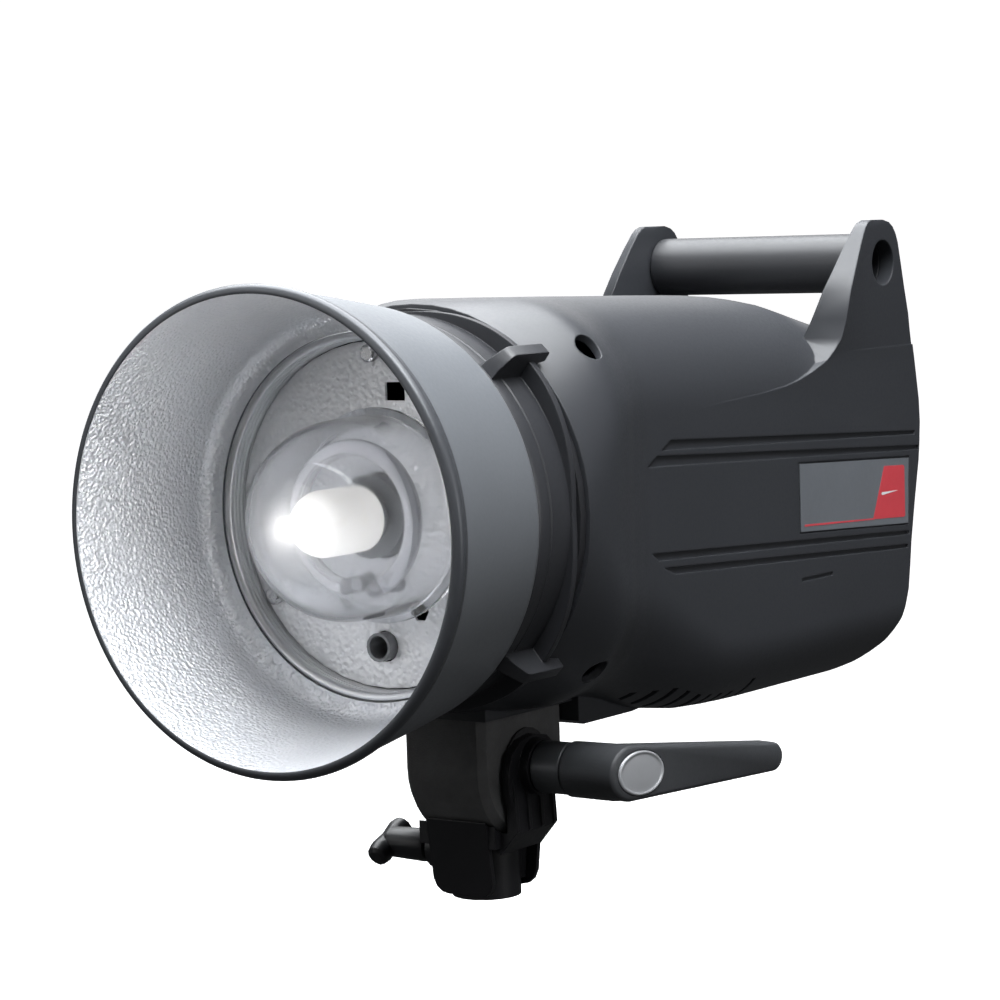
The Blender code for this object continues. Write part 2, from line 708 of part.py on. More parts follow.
def dial_knob():
    profile = [(248.0, 3.3), (248.0, 16.0), (258.5, 15.4), (260.5, 14.0), (260.5, 0.0),
               (256.4, 0.0), (256.4, 3.3)]
    knob = revolve("dial_knob", profile, centre=(0.0, DIAL_Z), count=36)
    for k in range(12):
        a = math.radians(30.0 * k)
        centre = (16.6 * math.cos(a), DIAL_Z + 16.6 * math.sin(a))
        cut(knob, cylinder("flute", "y", centre, 1.4, 246.0, 262.0, 8))
    return finish(knob, "rubber", (0.0, 254.0, DIAL_Z))


def push_buttons():
    for index, (x, z) in enumerate(BUTTON_PLACES):
        rings = []
        for y, dx, dz in ((241.0, 7.7, 4.2), (248.2, 7.7, 4.2), (248.9, 6.9, 3.4)):
            rings.append([(x - dx, y, z - dz), (x + dx, y, z - dz),
                          (x + dx, y, z + dz), (x - dx, y, z + dz)])
        button = loft("push_button_%d" % (index + 1), rings)
        finish(button, "charcoal", (x, 245.0, z))


def power_switch():
    bezel = box("rocker_bezel", (-9.0, 13.0), (246.8, 248.4), (LOWER_ROW_Z - 9, LOWER_ROW_Z + 9))
    cut(bezel, box("hole", (-6.5, 10.5), (245.0, 250.0), (LOWER_ROW_Z - 6.6, LOWER_ROW_Z + 6.6)))
    finish(bezel, "black")
    z = LOWER_ROW_Z
    outline = [(240.0, z - 4.0), (240.0, z + 4.0), (247.0, z + 5.7), (251.0, z + 5.4),
               (248.6, z), (248.8, z - 5.6), (247.0, z - 5.7)]
    rocker = prism("power_rocker", outline, "x", -6.2, 10.2)
    finish(rocker, "red", (2.0, 245.0, z))


def power_inlet():
    z = LOWER_ROW_Z
    block = box("power_inlet", (-45.5, -18.5), (226.0, 246.9), (z - 10.0, z + 10.0))
    cut(block, box("recess", (-43.0, -21.0), (231.0, 250.0), (z - 7.5, z + 7.5)))
    for x, dz in ((-39.0, -2.0), (-32.0, 2.0), (-25.0, -2.0)):
        unite(block, box("pin", (x - 1.0, x + 1.0), (230.0, 243.0), (z + dz - 2.5, z + dz + 2.5)))
    return finish(block, "black")


def fuse():
    profile = [(228.0, 0.0), (228.0, 6.9), (246.9, 6.9), (246.9, 5.3), (232.0, 5.3),
               (232.0, 0.0)]
    holder = revolve("fuse_holder", profile, centre=(34.0, LOWER_ROW_Z), count=20)
    finish(holder, "black")
    profile = [(236.0, 0.0), (236.0, 4.9), (247.3, 4.9), (247.3, 7.4), (251.0, 7.0),
               (251.0, 0.0)]
    cap = revolve("fuse_cap", profile, centre=(34.0, LOWER_ROW_Z), count=20)
    cut(cap, box("slot", (28.5, 39.5), (249.4, 253.0), (LOWER_ROW_Z - 0.8, LOWER_ROW_Z + 0.8)))
    finish(cap, "black", (34.0, 249.0, LOWER_ROW_Z))


def sync_jack():
    profile = [(236.0, 0.0), (236.0, 4.3), (246.8, 4.3), (246.8, 6.2), (248.4, 6.2),
               (248.4, 1.8), (239.0, 1.8), (239.0, 0.0)]
    return finish(revolve("sync_jack", profile, centre=(44.0, 184.0), count=16), "brass")


def photocell():
    profile = [(240.0, 0.0), (240.0, 5.3), (248.0, 5.3), (250.8, 3.8), (252.0, 0.0)]
    return finish(revolve("photocell", profile, centre=(-44.0, 184.0), count=16), "red")


# ---------------------------------------------------------------- tilt head

def tilt_ear():
    """Block under the housing whose round foot turns between the bracket's cheeks."""
    rings = []
    for x, inset in ((-EAR_X, 3.0), (-EAR_X + 3.0, 0.0), (EAR_X - 3.0, 0.0), (EAR_X, 3.0)):
        radius = EAR_R - inset
        ring = [(x, PIVOT_Y + radius, 74.2), (x, PIVOT_Y - radius, 74.2)]
        for i in range(17):
            a = math.radians(180.0 + 180.0 * i / 16)
            ring.append((x, PIVOT_Y + radius * math.cos(a), PIVOT_Z + radius * math.sin(a)))
        rings.append(ring)
    ear = loft("tilt_ear", rings)
    cut(ear, cylinder("bore", "x", (PIVOT_Y, PIVOT_Z), 5.3, -30.0, 30.0, 20))
    return finish(ear, "charcoal", (0.0, PIVOT_Y, PIVOT_Z))


def bracket_plate(name, outline, front, thickness):
    """Leaning plate: the XZ outline with its Y face sloping with height."""
    rings = []
    for offset in (0.0, thickness):
        rings.append([(x, front(z) + offset, z) for x, z in outline])
    return loft(name, rings)


def stand_bracket():
    bracket = cylinder("stand_bracket", "z", (0.0, 0.0), SOCKET_OUT_R, 0.0, 30.0, 32)
    outline = [(-14.4, 33.0), (-14.2, 8.0), (-13.0, 4.6), (-10.6, 2.6), (-8.0, 2.0),
               (8.0, 2.0), (10.6, 2.6), (13.0, 4.6), (14.2, 8.0), (14.4, 33.0)]
    unite(bracket, bracket_plate("front", outline, lambda z: -20.2 + (33.0 - z) * 0.155, 2.2))
    unite(bracket, bracket_plate("rear", outline, lambda z: 18.0 - (33.0 - z) * 0.155, 2.2))
    for x in (-9.5, 7.0):
        web = [(-17.0, 30.0), (-13.5, 5.0), (13.5, 5.0), (17.0, 30.0)]
        unite(bracket, prism("web", web, "x", x, x + 2.5))
    unite(bracket, box("yoke", (-19.0, 17.5), (-18.2, 18.2), (22.0, 33.0)))
    beak = [(14.0, 33.0), (14.0, 21.5), (17.6, 19.6), (24.9, 28.1), (CHEEK_OUT - 0.4, 40.0),
            (CHEEK_OUT - 0.8, 52.0), (CHEEK_IN, 52.0), (CHEEK_IN, 33.0)]
    unite(bracket, prism("beak", beak, "y", -14.5, 13.5))
    rib = [(14.0, 33.0), (14.0, 21.5), (17.6, 19.6), (25.8, 29.2), (25.0, 42.0),
           (CHEEK_OUT - 0.5, 58.0), (CHEEK_IN, 58.0), (CHEEK_IN, 33.0)]
    for y in (-14.5, -5.8, 2.9, 11.5):
        unite(bracket, prism("rib", rib, "y", y, y + 2.0))
    cheek = [(-14.5, 30.0), (-14.5, 38.0), (-16.8, 44.0), (-16.8, 53.0), (-14.4, 59.5),
             (-8.0, 64.0), (1.0, 65.6), (10.0, 64.0), (15.6, 59.5), (17.2, 53.0),
             (16.4, 44.0), (13.5, 38.0), (13.5, 30.0)]
    unite(bracket, prism("cheek", cheek, "x", CHEEK_IN, CHEEK_OUT))
    boss = circle(PIVOT_Y, PIVOT_Z, 11.2, 24)
    unite(bracket, prism("boss", boss, "x", CHEEK_OUT - 1.0, 28.4))
    strap = [(5.0, 24.0), (12.5, 24.0)]
    strap += [(PIVOT_Y + 9.0 * math.cos(math.radians(15.0 * i)),
               PIVOT_Z + 9.0 * math.sin(math.radians(15.0 * i))) for i in range(13)]
    unite(bracket, prism("strap", strap, "x", -CHEEK_OUT, -CHEEK_IN))
    unite(bracket, box("foot", (-CHEEK_OUT, -16.0), (5.0, 12.5), (24.0, 27.5)))
    clamp = circle(0.0, CLAMP_Z, 8.6, 20)
    unite(bracket, prism("clamp_boss", clamp, "x", -24.0, -10.0))
    cut(bracket, cylinder("ear_room", "x", (PIVOT_Y, PIVOT_Z), 29.2, -CHEEK_IN, CHEEK_IN, 40))
    cut(bracket, cylinder("socket", "z", (0.0, 0.0), SOCKET_BORE_R, -2.0, 21.4, 28))
    cut(bracket, cylinder("bolt_hole", "x", (PIVOT_Y, PIVOT_Z), 5.3, -40.0, 40.0, 20))
    cut(bracket, cylinder("pad_bore", "x", (0.0, CLAMP_Z), 4.3, -19.0, -6.0, 16))
    cut(bracket, cylinder("screw_bore", "x", (0.0, CLAMP_Z), 3.3, -30.0, -18.0, 16))
    return finish(bracket, "black")


def friction_discs():
    for name, low, high in (("friction_disc_right", 19.65, 20.65),
                            ("friction_disc_left", -20.65, -19.65)):
        radius = 15.0 if low > 0 else 8.6
        profile = [(low, 5.3), (low, radius), (high, radius), (high, 5.3)]
        disc = revolve(name, profile, "x", (PIVOT_Y, PIVOT_Z), 20)
        finish(disc, "rubber")


def pivot_bolt():
    bolt = cylinder("pivot_bolt", "x", (PIVOT_Y, PIVOT_Z), 5.0, -31.0, 55.0, 20)
    return finish(bolt, "steel")


def pivot_nut():
    nut = cylinder("pivot_nut", "x", (PIVOT_Y, PIVOT_Z), 8.4, -30.0, -24.5, 6)
    cut(nut, cylinder("thread", "x", (PIVOT_Y, PIVOT_Z), 5.3, -40.0, -20.0, 20))
    return finish(nut, "steel")


# ---------------------------------------------------------------- tilt lever

LEVER_LENGTH = 92.5
LEVER_OUT = math.radians(9.0)
LEVER_DROP = math.radians(3.8)
HUB_FACE_X = 70.0


def lever_collar():
    profile = [(28.7, 5.3), (28.7, 10.3), (41.7, 10.3), (41.7, 5.3)]
    collar = revolve("lever_collar", profile, "x", (PIVOT_Y, PIVOT_Z), 24)
    return finish(collar, "aluminium", (35.0, PIVOT_Y, PIVOT_Z))


def lever_point(along, up, depth):
    """Point on the arm: distance along it, height across it, depth below its outer face."""
    forward = Vector((math.sin(LEVER_OUT), math.cos(LEVER_OUT) * math.cos(LEVER_DROP),
                      -math.cos(LEVER_OUT) * math.sin(LEVER_DROP)))
    normal = Vector((math.cos(LEVER_OUT), -math.sin(LEVER_OUT), 0.0))
    rise = normal.cross(forward)
    start = Vector((HUB_FACE_X, PIVOT_Y, PIVOT_Z))
    return tuple(start + forward * along + rise * up - normal * depth)


def lever_arm():
    profile = [(42.0, 5.3), (42.0, 9.8), (43.2, 11.0), (62.0, 11.2), (66.5, 10.4),
               (66.5, 0.0), (56.0, 0.0), (56.0, 5.3)]
    hub = revolve("lever_arm", profile, "x", (PIVOT_Y, PIVOT_Z), 24)
    rings = []
    for depth, inset in ((0.0, 1.4), (1.4, 0.0), (9.0, 0.0), (11.5, 2.0)):
        ring = []
        for i in range(9):
            a = math.radians(90.0 + 180.0 * i / 8)
            ring.append(lever_point((12.6 - inset) * math.cos(a),
                                    (11.0 - inset) * math.sin(a), depth))
        for i in range(7):
            a = math.radians(-90.0 + 180.0 * i / 6)
            ring.append(lever_point(LEVER_LENGTH - 6.0 + (6.0 - inset) * math.cos(a),
                                    (6.0 - inset) * math.sin(a), depth))
        rings.append(ring)
    arm = loft("arm", rings)
    unite(hub, arm)
    seat = [lever_point(4.6 + 13.6 * math.cos(a), 9.0 * math.sin(a), 0.9)
            for a in [2.0 * math.pi * i / 24 for i in range(24)]]
    top = [lever_point(4.6 + 13.6 * math.cos(a), 9.0 * math.sin(a), -2.0)
           for a in [2.0 * math.pi * i / 24 for i in range(24)]]
    cut(hub, loft("seat", [seat, top]))
    return finish(hub, "black", (56.0, PIVOT_Y, PIVOT_Z))


def lever_badge():
    rings = []
    for depth, scale in ((0.6, 1.0), (-0.1, 1.0), (-0.7, 0.86)):
        rings.append([lever_point(4.6 + 13.3 * scale * math.cos(a),
                                  8.7 * scale * math.sin(a), depth)
                      for a in [2.0 * math.pi * i / 24 for i in range(24)]])
    return finish(loft("lever_badge", rings), "badge", (56.0, PIVOT_Y, PIVOT_Z))


# ---------------------------------------------------------------- stand clamp

def clamp_pad():
    pad = cylinder("clamp_pad", "x", (0.0, CLAMP_Z), 4.0, -14.5, -8.3, 16)
    return finish(pad, "brass", (-11.0, 0.0, CLAMP_Z))


def clamp_knob():
    profile = [(-14.8, 0.0), (-14.8, 3.0), (-27.5, 3.0), (-27.5, 6.0), (-29.0, 6.8),
               (-46.0, 6.2), (-49.0, 4.0), (-49.0, 0.0)]
    knob = revolve("clamp_knob", profile, "x", (0.0, CLAMP_Z), 20)
    tilt = math.radians(27.0)
    rings = []
    for s, radius in ((-11.4, 2.8), (-10.2, 4.4), (-6.6, 5.2), (0.0, 4.5), (6.6, 5.2),
                      (10.2, 4.4), (11.4, 2.8)):
        ring = []
        for j in range(12):
            a = 2.0 * math.pi * j / 12
            up = radius * math.sin(a)
            ring.append((-47.5 + radius * math.cos(a),
                         s * math.cos(tilt) - up * math.sin(tilt),
                         CLAMP_Z + s * math.sin(tilt) + up * math.cos(tilt)))
        rings.append(ring)
    unite(knob, loft("bar", rings))
    return finish(knob, "charcoal", (-38.0, 0.0, CLAMP_Z))


def main():
    clear_scene()
    reflector_bowl()
    reflector_collar()
    locking_ring()
    front_mount()
    base_plate()
    plate_screws()
    glass_dome()
    flash_tube()
    flash_socket()
    modelling_lamp()
    lamp_socket()
    umbrella_tube()
    shell = main_housing()
    front_screws(shell)
    finish(shell, "charcoal")
    handle_tube()
    label_plates()
    chassis()
    capacitors()
    power_board()
    trigger_transformer()
    control_board()
    fan_frame()
    fan_rotor()
    rear_panel()
    display_window()
    dial_bush()
    dial_knob()
    push_buttons()
    power_switch()
    power_inlet()
    fuse()
    sync_jack()
    photocell()
    tilt_ear()
    stand_bracket()
    friction_discs()
    pivot_bolt()
    pivot_nut()
    lever_collar()
    lever_arm()
    lever_badge()
    clamp_pad()
    clamp_knob()


main()
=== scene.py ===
"""Monolight strobe with its reflector, standing in a plain bright studio."""
import math

import bmesh
import bpy
from mathutils import Matrix, Vector


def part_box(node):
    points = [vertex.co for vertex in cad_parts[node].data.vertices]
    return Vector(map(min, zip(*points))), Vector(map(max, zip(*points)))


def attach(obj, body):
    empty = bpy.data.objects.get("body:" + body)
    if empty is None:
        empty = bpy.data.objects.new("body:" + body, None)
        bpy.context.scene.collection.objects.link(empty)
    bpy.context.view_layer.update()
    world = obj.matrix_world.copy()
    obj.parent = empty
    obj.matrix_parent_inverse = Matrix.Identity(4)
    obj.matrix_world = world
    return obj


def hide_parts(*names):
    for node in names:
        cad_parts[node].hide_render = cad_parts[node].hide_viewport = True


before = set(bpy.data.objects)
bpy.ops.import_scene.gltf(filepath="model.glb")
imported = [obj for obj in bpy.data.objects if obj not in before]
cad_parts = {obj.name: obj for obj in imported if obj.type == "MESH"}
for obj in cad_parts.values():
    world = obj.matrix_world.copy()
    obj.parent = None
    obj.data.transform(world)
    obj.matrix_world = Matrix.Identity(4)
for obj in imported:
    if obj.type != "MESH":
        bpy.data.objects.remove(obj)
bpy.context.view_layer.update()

# The strobe is drawn in millimetres, which mesh_object turns into metres; the studio is in metres.
MM = 0.001
AXIS_Z = 157.0
SIDE_X = 60.3
FRONT_Y = -37.6
WALL = 3.0
HANDLE_CENTRE = (231.5, 243.3)
HANDLE_R = 13.0
HANDLE_BORE_R = 10.0
PIVOT_Y = 1.0
PIVOT_Z = 53.0
FLASH_R = 27.0
DOME_CENTRE_Y = -83.0
LEVER_OUT = math.radians(9.0)
LEVER_DROP = math.radians(3.8)
LEVER_HUB_X = 70.0
SMOOTH_ANGLE = 30.0


# ---------------------------------------------------------------- mesh helpers (millimetres)

def mesh_object(name, verts, faces, slots=None):
    mesh = bpy.data.meshes.new(name)
    mesh.from_pydata([tuple(c * MM for c in v) for v in verts], [], faces)
    bm = bmesh.new()
    bm.from_mesh(mesh)
    if slots is not None:
        bm.faces.ensure_lookup_table()
        for face, index in zip(bm.faces, slots):
            face.material_index = index
    bmesh.ops.recalc_face_normals(bm, faces=bm.faces)
    bm.to_mesh(mesh)
    bm.free()
    obj = bpy.data.objects.new(name, mesh)
    bpy.context.scene.collection.objects.link(obj)
    return obj


def loft(name, rings):
    count = len(rings[0])
    verts = [p for ring in rings for p in ring]
    faces = [tuple(range(count))[::-1]]
    for i in range(len(rings) - 1):
        for j in range(count):
            k = (j + 1) % count
            faces.append((i * count + j, i * count + k, (i + 1) * count + k, (i + 1) * count + j))
    faces.append(tuple((len(rings) - 1) * count + j for j in range(count)))
    return mesh_object(name, verts, faces)


def axis_point(axis, centre, w, u, v):
    if axis == "x":
        return (w, centre[0] + u, centre[1] + v)
    if axis == "y":
        return (centre[0] + u, w, centre[1] + v)
    return (centre[0] + u, centre[1] + v, w)


def prism(name, outline, axis, low, high):
    rings = [[axis_point(axis, (0.0, 0.0), w, u, v) for u, v in outline] for w in (low, high)]
    return loft(name, rings)


def box(name, x, y, z):
    outline = [(x[0], z[0]), (x[1], z[0]), (x[1], z[1]), (x[0], z[1])]
    return prism(name, outline, "y", y[0], y[1])


def circle(cu, cv, radius, count=48):
    return [(cu + radius * math.cos(2.0 * math.pi * i / count),
             cv + radius * math.sin(2.0 * math.pi * i / count)) for i in range(count)]


def cylinder(name, axis, centre, radius, low, high, count=48):
    return prism(name, circle(centre[0], centre[1], radius, count), axis, low, high)


def revolve(name, profile, axis="y", centre=(0.0, AXIS_Z), count=128, slots=None):
    """Closed (w, r) profile turned about an axis; slots gives a material index per side."""
    verts, index = [], []
    for w, r in profile:
        row = []
        if r < 1e-6:
            verts.append(axis_point(axis, centre, w, 0.0, 0.0))
            row = [len(verts) - 1] * count
        else:
            for j in range(count):
                a = 2.0 * math.pi * j / count
                verts.append(axis_point(axis, centre, w, r * math.cos(a), r * math.sin(a)))
                row.append(len(verts) - 1)
        index.append(row)
    faces, marks = [], []
    for i in range(len(profile)):
        lower, upper = index[i], index[(i + 1) % len(profile)]
        for j in range(count):
            k = (j + 1) % count
            corners = []
            for c in (lower[j], lower[k], upper[k], upper[j]):
                if c not in corners:
                    corners.append(c)
            if len(corners) > 2:
                faces.append(tuple(corners))
                marks.append(slots[i] if slots else 0)
    return mesh_object(name, verts, faces, marks)


def sweep(name, path, radius, count=20):
    """Round bar along a path, without twist."""
    points = [Vector(p) for p in path]
    rings = []
    side = Vector((1.0, 0.0, 0.0))
    for i, point in enumerate(points):
        before = points[max(i - 1, 0)]
        after = points[min(i + 1, len(points) - 1)]
        along = (after - before).normalized()
        side = (side - along * side.dot(along)).normalized()
        other = along.cross(side)
        rings.append([tuple(point + radius * (math.cos(2.0 * math.pi * j / count) * side
                                              + math.sin(2.0 * math.pi * j / count) * other))
                      for j in range(count)])
    return loft(name, rings)


def join(parts):
    """One object holding the meshes of several that don't touch."""
    bm = bmesh.new()
    for part in parts:
        bm.from_mesh(part.data)
    bm.to_mesh(parts[0].data)
    bm.free()
    for part in parts[1:]:
        bpy.data.objects.remove(part, do_unlink=True)
    return parts[0]


def combine(target, others, operation):
    for other in others:
        modifier = target.modifiers.new("cut", "BOOLEAN")
        modifier.solver = "EXACT"
        modifier.operation = operation
        modifier.object = other
        bpy.context.view_layer.update()
        graph = bpy.context.evaluated_depsgraph_get()
        mesh = bpy.data.meshes.new_from_object(target.evaluated_get(graph))
        target.modifiers.clear()
        old = target.data
        target.data = mesh
        bpy.data.meshes.remove(old)
        mesh.name = target.name
        bpy.data.objects.remove(other, do_unlink=True)
    return target


def unite(target, *others):
    return combine(target, others, "UNION")


def cut(target, *others):
    return combine(target, others, "DIFFERENCE")


def aimed_cylinder(name, start, end, radius, count):
    along = (end - start).normalized()
    side = along.cross(Vector((0.0, 0.0, 1.0))).normalized()
    other = along.cross(side)
    rings = []
    for point in (start, end):
        rings.append([tuple(point + radius * (math.cos(2.0 * math.pi * j / count) * side
                                              + math.sin(2.0 * math.pi * j / count) * other))
                      for j in range(count)])
    return loft(name, rings)


def place(obj, nodes, body, materials, angle):
    """Smooth the piece, give it its materials and let it stand for its CAD nodes."""
    bm = bmesh.new()
    bm.from_mesh(obj.data)
    bmesh.ops.remove_doubles(bm, verts=bm.verts, dist=2e-6)
    bmesh.ops.recalc_face_normals(bm, faces=bm.faces)
    bm.to_mesh(obj.data)
    bm.free()
    for polygon in obj.data.polygons:
        polygon.use_smooth = True
    obj.data.set_sharp_from_angle(angle=math.radians(angle))
    marks = [polygon.material_index for polygon in obj.data.polygons]
    obj.data.materials.clear()
    for material in materials:
        obj.data.materials.append(material)
    for polygon, mark in zip(obj.data.polygons, marks):
        polygon.material_index = mark
    obj.name = "shown_" + nodes[0]
    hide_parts(*nodes)
    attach(obj, body)
    return obj


def smoothing_group():
    """Node group that shades smooth across every edge flatter than SMOOTH_ANGLE."""
    group = bpy.data.node_groups.new("smooth_by_angle", "GeometryNodeTree")
    group.interface.new_socket("Geometry", in_out="INPUT", socket_type="NodeSocketGeometry")
    group.interface.new_socket("Geometry", in_out="OUTPUT", socket_type="NodeSocketGeometry")
    nodes, links = group.nodes, group.links
    enter, leave = nodes.new("NodeGroupInput"), nodes.new("NodeGroupOutput")
    angle = nodes.new("GeometryNodeInputMeshEdgeAngle")
    compare = nodes.new("FunctionNodeCompare")
    compare.data_type = "FLOAT"
    compare.operation = "GREATER_THAN"
    compare.inputs[1].default_value = math.radians(SMOOTH_ANGLE)
    faces = nodes.new("GeometryNodeSetShadeSmooth")
    faces.domain = "FACE"
    edges = nodes.new("GeometryNodeSetShadeSmooth")
    edges.domain = "EDGE"
    edges.inputs["Shade Smooth"].default_value = False
    links.new(enter.outputs[0], faces.inputs["Geometry"])
    links.new(faces.outputs[0], edges.inputs["Geometry"])
    links.new(angle.outputs["Unsigned Angle"], compare.inputs[0])
    links.new(compare.outputs[0], edges.inputs["Selection"])
    links.new(edges.outputs[0], leave.inputs[0])
    return group


# ---------------------------------------------------------------- materials

def shade_nodes(name):
    material = bpy.data.materials.new(name)
    material.use_nodes = True
    tree = material.node_tree
    tree.nodes.clear()
    output = tree.nodes.new("ShaderNodeOutputMaterial")
    shader = tree.nodes.new("ShaderNodeBsdfPrincipled")
    tree.links.new(shader.outputs["BSDF"], output.inputs["Surface"])
    coords = tree.nodes.new("ShaderNodeTexCoord")
    return material, tree, shader, coords.outputs["Object"]


def noise(tree, coords, scale, detail=4.0, rough=0.55, stretch=None):
    if stretch:
        mapping = tree.nodes.new("ShaderNodeMapping")
        mapping.inputs["Scale"].default_value = stretch
        tree.links.new(coords, mapping.inputs["Vector"])
        coords = mapping.outputs["Vector"]
    node = tree.nodes.new("ShaderNodeTexNoise")
    node.inputs["Scale"].default_value = scale
    node.inputs["Detail"].default_value = detail
    node.inputs["Roughness"].default_value = rough
    tree.links.new(coords, node.inputs["Vector"])
    return node.outputs["Fac"]


def ramp(tree, factor, stops):
    node = tree.nodes.new("ShaderNodeValToRGB")
    elements = node.color_ramp.elements
    while len(elements) < len(stops):
        elements.new(0.5)
    for element, (position, colour) in zip(elements, stops):
        element.position = position
        element.color = (*colour, 1.0)
    tree.links.new(factor, node.inputs["Fac"])
    return node.outputs["Color"]


def spread(tree, factor, low, high, start=0.3, end=0.7):
    node = tree.nodes.new("ShaderNodeMapRange")
    node.inputs["From Min"].default_value = start
    node.inputs["From Max"].default_value = end
    node.inputs["To Min"].default_value = low
    node.inputs["To Max"].default_value = high
    tree.links.new(factor, node.inputs["Value"])
    return node.outputs["Result"]


def bump(tree, height, strength, distance, normal=None):
    node = tree.nodes.new("ShaderNodeBump")
    node.inputs["Strength"].default_value = strength
    node.inputs["Distance"].default_value = distance
    tree.links.new(height, node.inputs["Height"])
    if normal is not None:
        tree.links.new(normal, node.inputs["Normal"])
    return node.outputs["Normal"]


def tone(colour, factor):
    return tuple(max(0.0, min(1.0, c * factor)) for c in colour)


def surface(name, colour, rough=(0.35, 0.5), metallic=0.0, vary=0.16, grain=1800.0,
            grain_height=0.00004, grain_strength=0.4, cells=False, edge=0.0005, patches=28.0,
            scuffs=True, specular=0.5):
    """Painted, moulded or metal finish with patches, grain, fine scuffs and softened edges."""
    material, tree, shader, coords = shade_nodes(name)
    wide = noise(tree, coords, patches, 5.0)
    stops = [(0.3, tone(colour, 1.0 - vary)), (0.52, colour), (0.72, tone(colour, 1.0 + vary))]
    tree.links.new(ramp(tree, wide, stops), shader.inputs["Base Color"])
    fine = noise(tree, coords, grain * 0.25, 6.0, 0.65)
    tree.links.new(spread(tree, fine, rough[0], rough[1]), shader.inputs["Roughness"])
    shader.inputs["Metallic"].default_value = metallic
    shader.inputs["Specular IOR Level"].default_value = specular
    normal = None
    if edge:
        soft = tree.nodes.new("ShaderNodeBevel")
        soft.samples = 4
        soft.inputs["Radius"].default_value = edge
        normal = soft.outputs["Normal"]
    if scuffs:
        lines = noise(tree, coords, 60.0, 7.0, 0.7, (1.0, 0.35, 6.0))
        normal = bump(tree, lines, 0.12, 0.00003, normal)
    if cells:
        node = tree.nodes.new("ShaderNodeTexVoronoi")
        node.feature = "SMOOTH_F1"
        node.inputs["Scale"].default_value = grain
        node.inputs["Smoothness"].default_value = 0.7
        warp = tree.nodes.new("ShaderNodeTexNoise")
        warp.inputs["Scale"].default_value = grain * 0.8
        tree.links.new(coords, warp.inputs["Vector"])
        mix = tree.nodes.new("ShaderNodeMix")
        mix.data_type = "VECTOR"
        mix.inputs["Factor"].default_value = 0.0012
        tree.links.new(coords, mix.inputs["A"])
        tree.links.new(warp.outputs["Color"], mix.inputs["B"])
        tree.links.new(mix.outputs["Result"], node.inputs["Vector"])
        height = node.outputs["Distance"]
    else:
        height = noise(tree, coords, grain, 3.0, 0.6)
    tree.links.new(bump(tree, height, grain_strength, grain_height, normal),
                   shader.inputs["Normal"])
    return material


def glass(name, tint, rough, frost):
    """Clear or slightly milky glass with faint waves."""
    material, tree, shader, coords = shade_nodes(name)
    patch = noise(tree, coords, 55.0, 5.0, 0.6)
    tree.links.new(spread(tree, patch, rough[0], rough[1], 0.4, 0.7), shader.inputs["Roughness"])
    tree.links.new(ramp(tree, patch, [(0.3, tone(tint, 0.97)), (0.7, tint)]),
                   shader.inputs["Base Color"])
    shader.inputs["Transmission Weight"].default_value = 1.0 - frost
    shader.inputs["IOR"].default_value = 1.45
    waves = noise(tree, coords, 38.0, 2.0, 0.4)
    tree.links.new(bump(tree, waves, 0.35, 0.00012), shader.inputs["Normal"])
    return material


def glowing(name, colour, strength, frost):
    material, tree, shader, coords = shade_nodes(name)
    patch = noise(tree, coords, 90.0, 4.0, 0.6)
    tree.links.new(ramp(tree, patch, [(0.3, tone(colour, 0.92)), (0.7, colour)]),
                   shader.inputs["Emission Color"])
    tree.links.new(spread(tree, patch, strength * 0.85, strength * 1.15),
                   shader.inputs["Emission Strength"])
    shader.inputs["Base Color"].default_value = (0.9, 0.88, 0.84, 1.0)
    tree.links.new(spread(tree, patch, frost, frost + 0.15), shader.inputs["Roughness"])
    tree.links.new(bump(tree, patch, 0.3, 0.00005), shader.inputs["Normal"])
    return material


def circuit(name):
    material, tree, shader, coords = shade_nodes(name)
    tracks = tree.nodes.new("ShaderNodeTexBrick")
    tracks.inputs["Scale"].default_value = 130.0
    tracks.inputs["Mortar Size"].default_value = 0.03
    tracks.inputs["Color1"].default_value = (0.012, 0.09, 0.035, 1.0)
    tracks.inputs["Color2"].default_value = (0.018, 0.12, 0.05, 1.0)
    tracks.inputs["Mortar"].default_value = (0.06, 0.22, 0.09, 1.0)
    tree.links.new(coords, tracks.inputs["Vector"])
    tree.links.new(tracks.outputs["Color"], shader.inputs["Base Color"])
    patch = noise(tree, coords, 300.0)
    tree.links.new(spread(tree, patch, 0.3, 0.55), shader.inputs["Roughness"])
    tree.links.new(bump(tree, tracks.outputs["Fac"], 0.4, 0.00004), shader.inputs["Normal"])
    return material


def screen(name):
    material, tree, shader, coords = shade_nodes(name)
    patch = noise(tree, coords, 30.0)
    tree.links.new(ramp(tree, patch, [(0.3, (0.006, 0.01, 0.014)), (0.7, (0.012, 0.02, 0.026))]),
                   shader.inputs["Base Color"])
    smear = noise(tree, coords, 120.0, 6.0, 0.7, (1.0, 1.0, 3.0))
    tree.links.new(spread(tree, smear, 0.06, 0.2), shader.inputs["Roughness"])
    tree.links.new(bump(tree, smear, 0.05, 0.00002), shader.inputs["Normal"])
    return material


